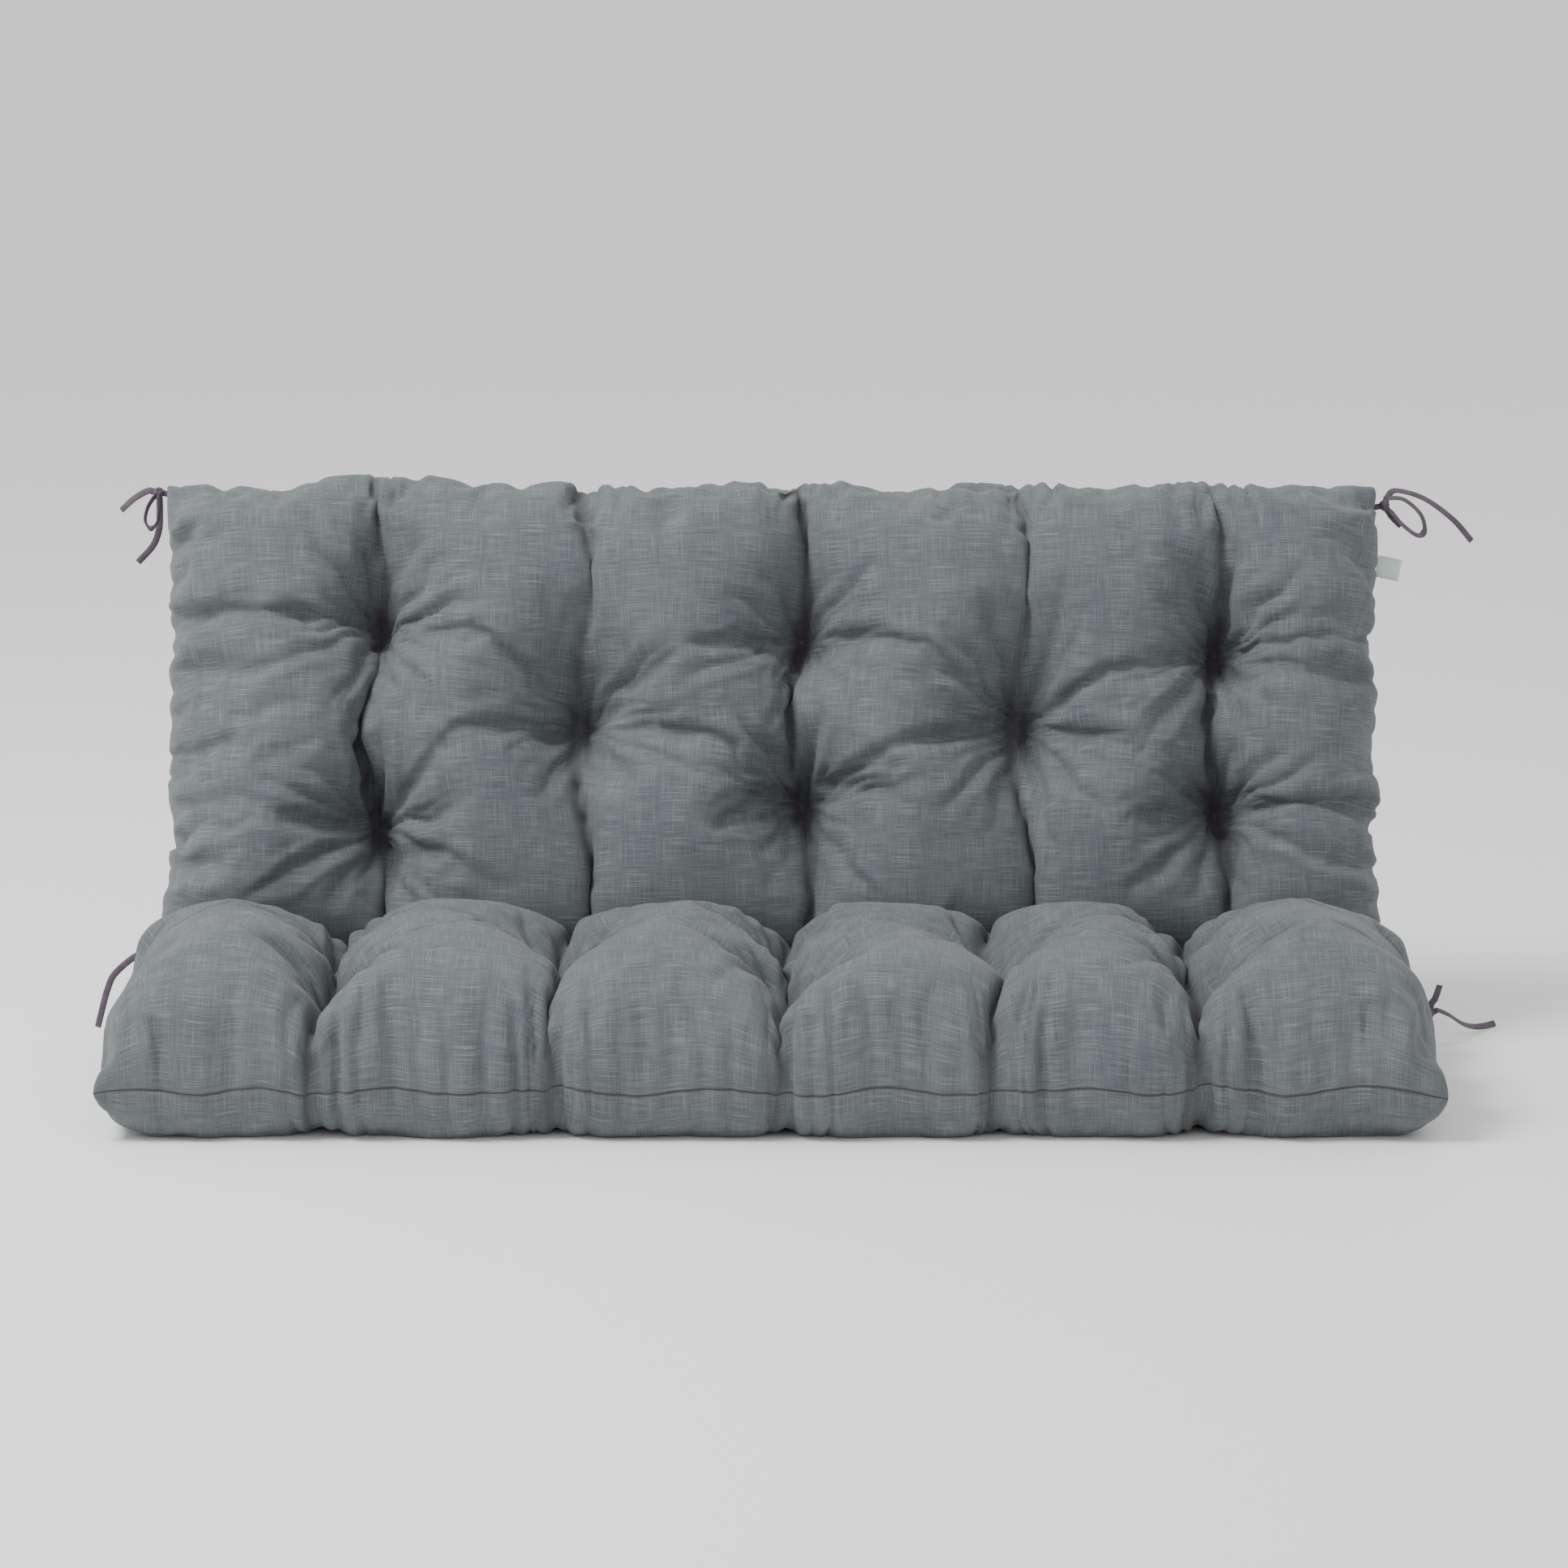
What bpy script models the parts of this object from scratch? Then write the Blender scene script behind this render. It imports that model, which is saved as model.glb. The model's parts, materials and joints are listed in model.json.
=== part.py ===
"""Tufted bench cushion: a seat pad and a backrest pad sewn together along a fold seam.

Metres, +Z up. The origin is the middle of the seat's flat underside. X runs along the width,
-Y is the front. Run with: blender --background --python part.py
"""

import math

import bmesh
import bpy
from mathutils import Euler, Matrix, Vector

# Seat pad
SEAT_WIDTH = 1.500        # side seam to side seam
SEAT_DEPTH = 0.500        # front seam to fold seam
SEAT_CROWN = 0.122        # top of the stuffing above the seam
SEAT_GROOVE = 0.072       # sewn-in valley between two columns, above the seam
SEAT_PIT = 0.056          # bottom of a tuft, above the seam
SEAT_SLOPE = 45.0         # degrees, steepest rise away from the fold

SEAT_LINES = (0.167, 0.342, 0.512, 0.670, 0.818)    # lines between columns, as shares of the width
SEAT_TUFTS = ((0.66, 0.33), (0.50,), (0.66, 0.33), (0.50,), (0.66, 0.33))   # shares of the depth

# Backrest pad
BACK_WIDTH = 1.450
BACK_HEIGHT = 0.615       # fold seam to top seam
BACK_CROWN = 0.088
BACK_GROOVE = 0.050
BACK_PIT = 0.032
BACK_SLOPE = 38.0
BACK_LEAN = 15.0          # degrees back from upright
BACK_LINES = (0.179, 0.348, 0.525, 0.705, 0.864)
BACK_TUFTS = ((0.32, 0.70), (0.52,), (0.365, 0.69), (0.52,), (0.35, 0.66))

# Shared by both pads
PAD_FLAT = 0.055          # seam down to the flat rear or under side
DIMPLE = 0.016            # how far a tuft lifts the flat side
DIMPLE_RADIUS = 0.040
COLUMNS = len(SEAT_LINES) + 1
CELLS_ACROSS = 4          # mesh cells in one column
CELLS_ALONG = 12
EDGE_REACH = 0.115        # how far in from an edge the stuffing reaches its full height
FLAT_REACH = 0.040        # the same for the flat side
SADDLE = 0.016            # dip between the two lobes of one column
SADDLE_REACH = 0.060
COVER = 0.0008            # cloth thickness
GAP = 0.0004              # clearance between pieces that touch
RIM_INSET = 0.004         # how far the filling stays back from the seam

# Tuft threads
THREAD_RADIUS = 0.0010
KNOT_RADIUS = 0.0040
KNOT_HEIGHT = 0.0050
KNOT_PROUD = 0.0015       # how far a thread's knot stands over the cloth
TURN_STEPS = 10

# Fold seam, label and ties
FOLD_RADIUS = 0.0020
FOLD_SHORT = 0.010        # the seam ends this far inside the narrower pad
LABEL_SIZE = (0.026, 0.0008, 0.027)
LABEL_HEIGHT = 0.520      # along the backrest, above the fold
LABEL_TILT = 12.0         # degrees
TIE_RADIUS = 0.0025
TIE_KNOT = 0.0080
TOP_LEFT_TIE = 0.009      # how far the knots lie below the top seam
TOP_RIGHT_TIE = 0.025
LOW_LEFT_TIE = 0.064      # and above the fold
LOW_TIE_IN = 0.015        # the low right tie is sewn in this far in front of the fold
ROOT_GAP = 0.0007         # between that tie's root and the side seam
TIE_STEP = 0.0060         # spacing of the points along a tie
TIE_LEAD = 0.0045         # a tie leaves its knot straight for this far

RIM = COVER + GAP / 2     # half the opening between two covers at the seam
FOLD_SET = FOLD_RADIUS + 0.0005
SEAM_Z = PAD_FLAT + RIM
FOLD = Vector((0.0, SEAT_DEPTH / 2, SEAM_Z))
BACK_TURN = math.radians(90.0 - BACK_LEAN)

COLLECTION = "bench_cushion"
CUTTERS = "cutters"

COLOURS = {
    "cover_fabric": (0.165, 0.185, 0.195),
    "filling": (0.80, 0.80, 0.78),
    "thread": (0.10, 0.09, 0.10),
    "tie_tape": (0.10, 0.085, 0.10),
    "label_fabric": (0.50, 0.60, 0.57),
}

SEAT = {
    "name": "seat", "width": SEAT_WIDTH, "start": 0.0, "end": SEAT_DEPTH - FOLD_SET,
    "crown": SEAT_CROWN, "groove": SEAT_GROOVE, "pit": SEAT_PIT,
    "fold": SEAT_DEPTH, "slope": math.tan(math.radians(SEAT_SLOPE)),
    "lines": SEAT_LINES, "tufts": SEAT_TUFTS,
}
BACK = {
    "name": "back", "width": BACK_WIDTH, "start": FOLD_SET, "end": BACK_HEIGHT,
    "crown": BACK_CROWN, "groove": BACK_GROOVE, "pit": BACK_PIT,
    "fold": 0.0, "slope": math.tan(math.radians(BACK_SLOPE)),
    "lines": BACK_LINES, "tufts": BACK_TUFTS,
}


def clear_scene():
    for obj in list(bpy.data.objects):
        bpy.data.objects.remove(obj, do_unlink=True)


def make_collection(name):
    made = bpy.data.collections.new(name)
    bpy.context.scene.collection.children.link(made)
    return made


def fabric(name):
    """One Principled material for a node, in the colour of its slot."""
    material = bpy.data.materials.new(name)
    material.use_nodes = True
    shader = material.node_tree.nodes["Principled BSDF"]
    shader.inputs["Base Color"].default_value = (*COLOURS[name], 1.0)
    shader.inputs["Roughness"].default_value = 0.9
    shader.inputs["Metallic"].default_value = 0.0
    return material


def add_object(name, data, slot, collection, parent=None):
    obj = bpy.data.objects.new(name, data)
    collection.objects.link(obj)
    obj.parent = parent
    if slot:
        obj.data.materials.append(fabric(slot))
    return obj


def mesh_from(bm, name):
    mesh = bpy.data.meshes.new(name)
    bm.to_mesh(mesh)
    bm.free()
    return mesh


def smooth(mesh, angle=50.0):
    mesh.shade_smooth()
    mesh.set_sharp_from_angle(angle=math.radians(angle))


# Pad form -------------------------------------------------------------------


def round_rise(distance, reach):
    """0 at an edge, 1 from reach on, along a quarter ellipse."""
    share = min(max(distance / reach, 0.0), 1.0)
    return math.sqrt(1.0 - (1.0 - share) ** 2)


def side_edge(x, pad):
    """Distance to the nearer side seam."""
    return pad["width"] / 2 - abs(x)


def free_edge(y, pad):
    """Distance to the edge that isn't the fold."""
    return y - pad["start"] if pad["fold"] > 0 else pad["end"] - y


def distance_to(x, y, place):
    return math.hypot(x - place[0], y - place[1])


def tufts(pad):
    """Places of the tufts: two and one by turns on the lines between columns."""
    length = pad["end"] - pad["start"]
    return [
        (pad["width"] * (line - 0.5), pad["start"] + length * share)
        for line, shares in zip(pad["lines"], pad["tufts"]) for share in shares
    ]


def column_ends(pad):
    """Shares of the width at which the columns start and end."""
    return (0.0, *pad["lines"], 1.0)


def from_columns(count, pad):
    """The place across the pad after this many columns."""
    ends = column_ends(pad)
    index = min(int(count), COLUMNS - 1)
    share = ends[index] + (count - index) * (ends[index + 1] - ends[index])
    return pad["width"] * (share - 0.5)


def to_columns(x, pad):
    """How many columns lie to the left of a place."""
    share = x / pad["width"] + 0.5
    ends = column_ends(pad)
    index = sum(share >= end for end in ends[1:-1])
    return index + (share - ends[index]) / (ends[index + 1] - ends[index])


def crown_height(x, y, pad):
    """Height of the stuffed face over the seam plane."""
    line = 0.5 + 0.5 * math.cos(2 * math.pi * to_columns(x, pad))
    middle = (y - (pad["start"] + pad["end"]) / 2) / SADDLE_REACH
    height = pad["crown"] - (pad["crown"] - pad["groove"]) * line
    height -= SADDLE * (1.0 - line) * math.exp(-middle * middle)
    reach = min(distance_to(x, y, place) for place in tufts(pad))
    if reach < DIMPLE_RADIUS:
        height -= (pad["groove"] - pad["pit"]) * (1.0 - reach / DIMPLE_RADIUS)
    height *= round_rise(side_edge(x, pad), EDGE_REACH) * round_rise(free_edge(y, pad), EDGE_REACH)
    limit = pad["slope"] * abs(y - pad["fold"])
    if height <= 0.0:
        return 0.0
    return (height ** -10 + limit ** -10) ** -0.1


def flat_height(x, y, pad):
    """Depth of the flat face under the seam plane."""
    ends = min(y - pad["start"], pad["end"] - y)
    depth = PAD_FLAT * round_rise(side_edge(x, pad), FLAT_REACH) * round_rise(ends, FLAT_REACH)
    reach = min(distance_to(x, y, place) for place in tufts(pad))
    if reach < DIMPLE_RADIUS:
        depth -= DIMPLE * (1.0 - reach / DIMPLE_RADIUS)
    return -depth


def split_corners(bm):
    """Split each corner cell from the corner inwards, so that no triangle lies along the rim."""
    for corner in [vert for vert in bm.verts if len(vert.link_edges) == 2]:
        cell = corner.link_faces[0]
        inner = next(vert for vert in cell.verts if not vert.is_boundary)
        bmesh.ops.connect_verts(bm, verts=[corner, inner])


def panel_grid(pad, height, rim):
    """One cloth panel as an open grid, raised by a height function."""
    bm = bmesh.new()
    bmesh.ops.create_grid(bm, x_segments=COLUMNS * CELLS_ACROSS, y_segments=CELLS_ALONG, size=0.5)
    length = pad["end"] - pad["start"]
    for vert in bm.verts:
        x = from_columns((vert.co.x + 0.5) * COLUMNS, pad)
        vert.co = (x, pad["start"] + (vert.co.y + 0.5) * length, rim)
    for place in tufts(pad):
        nearest = min(bm.verts, key=lambda vert: distance_to(vert.co.x, vert.co.y, place))
        nearest.co.xy = place
    for vert in bm.verts:
        if not vert.is_boundary:
            vert.co.z = height(vert.co.x, vert.co.y, pad) + rim
    if rim < 0:
        bmesh.ops.reverse_faces(bm, faces=bm.faces)
    # a panel and the stuffing under it must split their bent cells the same way
    split_corners(bm)
    bmesh.ops.triangulate(bm, faces=bm.faces, quad_method="FIXED")
    bm.normal_update()
    return bm


def panel(pad, name, height, rim, collection, parent):
    """A cover panel: the open grid given the cloth's thickness, inwards."""
    mesh = mesh_from(panel_grid(pad, height, rim), name)
    smooth(mesh)
    obj = add_object(name, mesh, "cover_fabric", collection, parent)
    cloth = obj.modifiers.new("cloth", "SOLIDIFY")
    cloth.thickness = COVER
    cloth.offset = -1.0
    return obj


def sunk_grid(pad, height, rim):
    """The same face, set in under its cover, with its rim drawn back to the seam plane."""
    bm = panel_grid(pad, height, rim)
    moves = {vert: vert.normal * (COVER + GAP) for vert in bm.verts}
    across = 1.0 - 2 * RIM_INSET / pad["width"]
    middle = (pad["start"] + pad["end"]) / 2
    along = 1.0 - 2 * RIM_INSET / (pad["end"] - pad["start"])
    for vert, move in moves.items():
        if vert.is_boundary:
            vert.co = (vert.co.x * across, middle + (vert.co.y - middle) * along, 0.0)
        else:
            vert.co -= move
    return bm


def filling(pad, collection, parent):
    """The fibre stuffing: both faces in one closed form."""
    whole = sunk_grid(pad, crown_height, RIM)
    under = sunk_grid(pad, flat_height, -RIM)
    mesh = mesh_from(under, "under")
    whole.from_mesh(mesh)
    bpy.data.meshes.remove(mesh)
    bmesh.ops.remove_doubles(whole, verts=whole.verts, dist=0.00001)
    name = pad["name"] + "_filling"
    mesh = mesh_from(whole, name)
    smooth(mesh)
    return add_object(name, mesh, "filling", collection, parent)


# Tuft threads ---------------------------------------------------------------


def spool(low, high, grow, reach):
    """A thread with a knot at each end, turned about Z; grown, it is the channel it needs."""
    knot = KNOT_RADIUS + grow
    thread = THREAD_RADIUS + grow
    neck = KNOT_HEIGHT - KNOT_PROUD + grow
    half = [(0.0, high + reach), (knot, high + reach), (knot, high - neck), (thread, high - neck)]
    other = [(thread, low + neck), (knot, low + neck), (knot, low - reach), (0.0, low - reach)]
    bm = bmesh.new()
    verts = [bm.verts.new((radius, 0.0, z)) for radius, z in half + other]
    for first, second in zip(verts, verts[1:]):
        bm.edges.new((first, second))
    bmesh.ops.spin(
        bm, geom=bm.verts[:] + bm.edges[:], cent=(0, 0, 0), axis=(0, 0, 1),
        angle=2 * math.pi, steps=TURN_STEPS, use_merge=True,
    )
    bmesh.ops.remove_doubles(bm, verts=bm.verts, dist=0.00001)
    bmesh.ops.recalc_face_normals(bm, faces=bm.faces)
    return bm


def thread_ends(pad, place):
    x, y = place
    return flat_height(x, y, pad) - RIM, crown_height(x, y, pad) + RIM


def tuft_threads(pad, collection, parent):
    for number, place in enumerate(tufts(pad), start=1):
        low, high = thread_ends(pad, place)
        name = f"{pad['name']}_tuft_thread_{number}"
        mesh = mesh_from(spool(low, high, 0.0, KNOT_PROUD), name)
        smooth(mesh)
        obj = add_object(name, mesh, "thread", collection, parent)
        obj.location = (place[0], place[1], 0.0)


def thread_channels(pad, collection, parent):
    """The channels of one pad's threads as one cutter."""
    whole = bmesh.new()
    for place in tufts(pad):
        low, high = thread_ends(pad, place)
        one = spool(low, high, GAP, KNOT_HEIGHT * 4)
        bmesh.ops.translate(one, verts=one.verts, vec=(place[0], place[1], 0.0))
        mesh = mesh_from(one, "one")
        whole.from_mesh(mesh)
        bpy.data.meshes.remove(mesh)
    name = pad["name"] + "_thread_channels"
    obj = add_object(name, mesh_from(whole, name), None, collection, parent)
    obj.hide_render = True
    obj.display_type = "WIRE"
    return obj


def cut(obj, cutter):
    hole = obj.modifiers.new("thread_holes", "BOOLEAN")
    hole.operation = "DIFFERENCE"
    hole.solver = "EXACT"
    hole.object = cutter


def make_pad(pad, face, rear, parts, cutters, parent):
    """Two cover panels, the filling and the tuft threads of one pad."""
    channels = thread_channels(pad, cutters, parent)
    pieces = [
        panel(pad, face, crown_height, RIM, parts, parent),
        panel(pad, rear, flat_height, -RIM, parts, parent),
        filling(pad, parts, parent),
    ]
    for piece in pieces:
        cut(piece, channels)
    tuft_threads(pad, parts, parent)


# Fold seam and label --------------------------------------------------------


def fold_seam(collection):
    """The stitched seam allowance that the backrest folds on."""
    length = min(SEAT_WIDTH, BACK_WIDTH) - 2 * FOLD_SHORT
    bm = bmesh.new()
    bmesh.ops.create_cone(
        bm, cap_ends=True, segments=12, radius1=FOLD_RADIUS, radius2=FOLD_RADIUS, depth=length,
        matrix=Matrix.Rotation(math.pi / 2, 4, "Y"),
    )
    mesh = mesh_from(bm, "fold_seam")
    smooth(mesh)
    add_object("fold_seam", mesh, "cover_fabric", collection).location = FOLD


def side_label(collection, parent):
    """A small plain tag that stands out of the backrest's right side seam."""
    bm = bmesh.new()
    across, thick, tall = LABEL_SIZE
    bmesh.ops.create_cube(bm, size=1.0)
    bmesh.ops.scale(bm, verts=bm.verts, vec=(across, tall, thick))
    bmesh.ops.translate(bm, verts=bm.verts, vec=(across / 2, 0.0, 0.0))
    bmesh.ops.bevel(
        bm, geom=bm.edges[:], offset=thick / 4, segments=1, profile=0.5,
        affect="EDGES", material=-1,
    )
    obj = add_object("side_label", mesh_from(bm, "side_label"), "label_fabric", collection, parent)
    lean_out = tall / 2 * math.sin(math.radians(LABEL_TILT))
    obj.location = (BACK_WIDTH / 2 + GAP + lean_out, LABEL_HEIGHT, 0.0)
    obj.rotation_euler = Euler((0.0, 0.0, math.radians(-LABEL_TILT)))


# Ties -----------------------------------------------------------------------


def on_back(side, height):
    """A knot's place against the backrest's side seam, this far above the fold."""
    x = side * (BACK_WIDTH / 2 + TIE_KNOT + GAP)
    return FOLD + Vector((x, height * math.cos(BACK_TURN), height * math.sin(BACK_TURN)))


def smooth_route(points, step):
    """Evenly spaced points on a smooth curve through a few chosen ones."""
    ends = [2 * points[0] - points[1], *points, 2 * points[-1] - points[-2]]
    fine = []
    for a, b, c, d in zip(ends, ends[1:], ends[2:], ends[3:]):
        for index in range(20):
            t = index / 20
            fine.append(0.5 * (2 * b + (c - a) * t + (2 * a - 5 * b + 4 * c - d) * t * t
                               + (3 * b - a - 3 * c + d) * t ** 3))
    fine.append(points[-1])
    runs = [0.0]
    for first, second in zip(fine, fine[1:]):
        runs.append(runs[-1] + (second - first).length)
    count = max(3, round(runs[-1] / step))
    even, at = [], 0
    for index in range(count + 1):
        goal = runs[-1] * index / count
        while at < len(runs) - 2 and runs[at + 1] < goal:
            at += 1
        share = (goal - runs[at]) / max(runs[at + 1] - runs[at], 1e-9)
        even.append(fine[at].lerp(fine[at + 1], min(max(share, 0.0), 1.0)))
    return even


def tie_tube(name, knot, offsets, collection):
    """One run of tape as a plain tube; its points are measured from its knot."""
    curve = bpy.data.curves.new(name, "CURVE")
    curve.dimensions = "3D"
    curve.bevel_depth = TIE_RADIUS
    curve.bevel_resolution = 2
    curve.use_fill_caps = True
    route = smooth_route([knot + Vector(offset) for offset in offsets], TIE_STEP)
    spline = curve.splines.new("POLY")
    spline.points.add(len(route) - 1)
    for target, point in zip(spline.points, route):
        target.co = (*point, 1.0)
    return add_object(name, curve, "tie_tape", collection)


def tie_knot(name, centre, collection):
    """A tape's knot as a plain ball."""
    bm = bmesh.new()
    bmesh.ops.create_uvsphere(bm, u_segments=14, v_segments=9, radius=TIE_KNOT)
    mesh = mesh_from(bm, name)
    smooth(mesh)
    obj = add_object(name, mesh, "tie_tape", collection)
    obj.location = centre
    return obj


def from_knot(direction):
    """Two points straight out of a knot, from just off its surface."""
    out = Vector(direction).normalized()
    return out * (TIE_KNOT + GAP), out * (TIE_KNOT + TIE_LEAD)


def to_knot(direction):
    """The same two points for a run of tape that ends in the knot."""
    return reversed(from_knot(direction))


def keep_on_back(objects, parent):
    """Hang finished world-placed pieces on the backrest's axis, where they are."""
    bpy.context.view_layer.update()
    for obj in objects:
        place = obj.matrix_world.copy()
        obj.parent = parent
        obj.matrix_parent_inverse = parent.matrix_world.inverted()
        obj.matrix_world = place


def top_left_tie(collection):
    knot = on_back(-1, BACK_HEIGHT - TOP_LEFT_TIE)
    return [
        tie_knot("tie_top_left_knot", knot, collection),
        tie_tube("tie_top_left_tail_a", knot, [
            *from_knot((-0.98, 0.10, 0.15)), (-0.021, 0.002, -0.002),
            (-0.033, 0.002, -0.010), (-0.046, 0.002, -0.022)], collection),
        tie_tube("tie_top_left_loop", knot, [
            *from_knot((-0.60, -0.35, -0.72)), (-0.013, -0.008, -0.019),
            (-0.015, -0.013, -0.033), (-0.008, -0.017, -0.041), (0.000, -0.018, -0.034),
            (0.002, -0.015, -0.019), *to_knot((0.05, -0.75, -0.66))], collection),
        tie_tube("tie_top_left_tail_b", knot, [
            *from_knot((0.0, 0.45, -0.90)), (0.000, 0.005, -0.026),
            (-0.001, 0.003, -0.045), (-0.008, -0.002, -0.064), (-0.026, -0.005, -0.084)], collection),
    ]


def top_right_tie(collection):
    knot = on_back(1, BACK_HEIGHT - TOP_RIGHT_TIE)
    return [
        tie_knot("tie_top_right_knot", knot, collection),
        tie_tube("tie_top_right_loop", knot, [
            *from_knot((0.75, -0.30, -0.60)), (0.021, -0.008, -0.021),
            (0.039, -0.011, -0.034), (0.048, -0.012, -0.028), (0.043, -0.011, -0.009),
            (0.024, -0.008, 0.008), *to_knot((0.55, -0.30, 0.80))], collection),
        tie_tube("tie_top_right_tail", knot, [
            *from_knot((0.35, 0.60, 0.72)), (0.015, 0.011, 0.017),
            (0.049, 0.016, 0.007), (0.084, 0.017, -0.018), (0.108, 0.017, -0.045)], collection),
        tie_tube("tie_top_right_cut_end", knot, [
            *from_knot((0.50, 0.55, -0.67)), (0.011, 0.007, -0.015),
            (0.022, 0.009, -0.026)], collection),
    ]


def low_left_tie(collection):
    knot = on_back(-1, LOW_LEFT_TIE)
    return [
        tie_knot("tie_low_left_knot", knot, collection),
        tie_tube("tie_low_left_tail", knot, [
            *from_knot((-0.80, -0.20, -0.55)), (-0.028, -0.005, -0.017),
            (-0.048, -0.007, -0.035), (-0.056, -0.007, -0.052), (-0.062, -0.007, -0.072),
            (-0.069, -0.007, -0.099)], collection),
        tie_tube("tie_low_left_cut_end", knot, [
            *from_knot((-0.10, -0.60, -0.79)), (-0.007, -0.010, -0.021),
            (-0.015, -0.013, -0.033)], collection),
    ]


def low_right_tie(collection):
    to_seam = Vector((-0.030, 0.0, 0.015))
    knot = FOLD + Vector((SEAT_WIDTH / 2, -LOW_TIE_IN, 0.0)) - to_seam
    return [
        tie_knot("tie_low_right_knot", knot, collection),
        tie_tube("tie_low_right_root", knot, [
            to_seam + Vector((ROOT_GAP, 0.0, 0.0)), to_seam + Vector((0.010, 0.0, -0.001)),
            *to_knot((-0.90, 0.0, 0.43))], collection),
        tie_tube("tie_low_right_cut_end", knot, [
            *from_knot((0.20, -0.10, 0.97)), (0.007, -0.002, 0.019),
            (0.012, -0.003, 0.035)], collection),
        tie_tube("tie_low_right_tail", knot, [
            *from_knot((0.90, 0.35, 0.25)), (0.026, 0.015, -0.005),
            (0.044, 0.037, -0.020), (0.061, 0.063, -0.030), (0.078, 0.089, -0.035),
            (0.093, 0.112, -0.037)], collection),
    ]


def build():
    clear_scene()
    parts = make_collection(COLLECTION)
    cutters = make_collection(CUTTERS)

    seat_frame = bpy.data.objects.new("seat_frame", None)
    seat_frame.location = (0.0, -SEAT_DEPTH / 2, SEAM_Z)
    parts.objects.link(seat_frame)

    fold_axis = bpy.data.objects.new("fold_axis", None)
    fold_axis.location = FOLD
    fold_axis.rotation_euler = Euler((BACK_TURN, 0.0, 0.0))
    parts.objects.link(fold_axis)

    make_pad(SEAT, "seat_top_cover", "seat_bottom_cover", parts, cutters, seat_frame)
    make_pad(BACK, "back_front_cover", "back_rear_cover", parts, cutters, fold_axis)
    fold_seam(parts)
    side_label(parts, fold_axis)
    on_backrest = top_left_tie(parts) + top_right_tie(parts) + low_left_tie(parts)
    keep_on_back(on_backrest, fold_axis)
    low_right_tie(parts)


build()
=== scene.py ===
# %% [markdown]
# # A tufted bench cushion
# This lesson dresses a plain CAD model of a bench cushion: a seat pad and a backrest pad of grey
# slub-weave cloth, stuffed with fibre, pulled in by tuft threads and tied on with flat tapes.
# The CAD model gives the sizes and the fold that the backrest moves on. Everything here is
# soft, so every piece is modelled again as cloth, tape or thread and rides on its CAD body.

# %% Load the frame
import json
import math

import bmesh
import bpy
import numpy as np
from mathutils import Matrix, Vector
from mathutils.bvhtree import BVHTree


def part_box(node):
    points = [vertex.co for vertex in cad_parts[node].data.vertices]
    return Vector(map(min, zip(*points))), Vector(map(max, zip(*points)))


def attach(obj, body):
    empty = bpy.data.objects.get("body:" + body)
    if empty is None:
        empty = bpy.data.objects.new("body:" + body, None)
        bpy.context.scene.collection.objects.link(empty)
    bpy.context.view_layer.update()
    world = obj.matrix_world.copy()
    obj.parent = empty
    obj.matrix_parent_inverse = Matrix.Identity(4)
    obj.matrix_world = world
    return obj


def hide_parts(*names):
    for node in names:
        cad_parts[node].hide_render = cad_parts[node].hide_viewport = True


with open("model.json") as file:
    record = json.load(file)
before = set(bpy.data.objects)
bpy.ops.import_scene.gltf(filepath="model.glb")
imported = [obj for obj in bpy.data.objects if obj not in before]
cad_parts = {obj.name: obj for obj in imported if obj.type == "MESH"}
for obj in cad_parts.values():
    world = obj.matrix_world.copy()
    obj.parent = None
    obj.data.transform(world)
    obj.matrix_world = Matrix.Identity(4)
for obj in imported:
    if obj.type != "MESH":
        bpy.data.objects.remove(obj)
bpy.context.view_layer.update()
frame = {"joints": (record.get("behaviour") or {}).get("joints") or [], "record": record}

# %% [markdown]
# ## The sizes come from the frame
# Each pad is described in its own flat coordinates: x runs along the width, t runs from the fold
# to the free edge, and n stands out of the stuffed face. A pad's place in the model is one
# matrix, so both pads can share every function below.

# %% Places and sizes of the two pads
FOLD = Vector(frame["joints"][0]["pos_m"])
PAD_FLAT = FOLD.z                         # metres from the fold's axis to a pad's flat side
low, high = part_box("seat_top_cover")
SEAT_HALF, SEAT_LENGTH = high.x, FOLD.y - low.y
REAR = Vector(next(m["axis"] for m in frame["record"]["mounts"] if m["name"] == "backrest_rear"))
BACK_TURN = math.atan2(REAR.y, -REAR.z)   # how far the backrest stands up from lying flat
low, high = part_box("back_rear_cover")
BACK_HALF = high.x
BACK_LENGTH = (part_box("back_front_cover")[1].z - FOLD.z) / math.sin(BACK_TURN)


def pad_matrix(along, out):
    """The matrix that takes (x, t, n) of a pad to the model."""
    matrix = Matrix.Identity(4)
    for row in range(3):
        matrix[row][1] = along[row]
        matrix[row][2] = out[row]
        matrix[row][3] = FOLD[row]
    return matrix


SEAT_PLACE = pad_matrix((0, -1, 0), (0, 0, 1))
BACK_ALONG = (0, math.cos(BACK_TURN), math.sin(BACK_TURN))
BACK_PLACE = pad_matrix(BACK_ALONG, (0, -math.sin(BACK_TURN), math.cos(BACK_TURN)))
print("seat", SEAT_HALF, SEAT_LENGTH, "backrest", BACK_HALF, BACK_LENGTH, "flat", PAD_FLAT)

# %% [markdown]
# ## The camera
# The cushion is looked at from a little above, from far away with a long lens, so that the seat
# and the backrest keep nearly the same scale.

# %% Camera
LENS, SENSOR = 128.5, 36.0                # millimetres
CAMERA_PLACE = (0.015, -6.25, 1.4854)     # metres
CAMERA_DOWN = 10.21                       # degrees below the horizon

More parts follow.
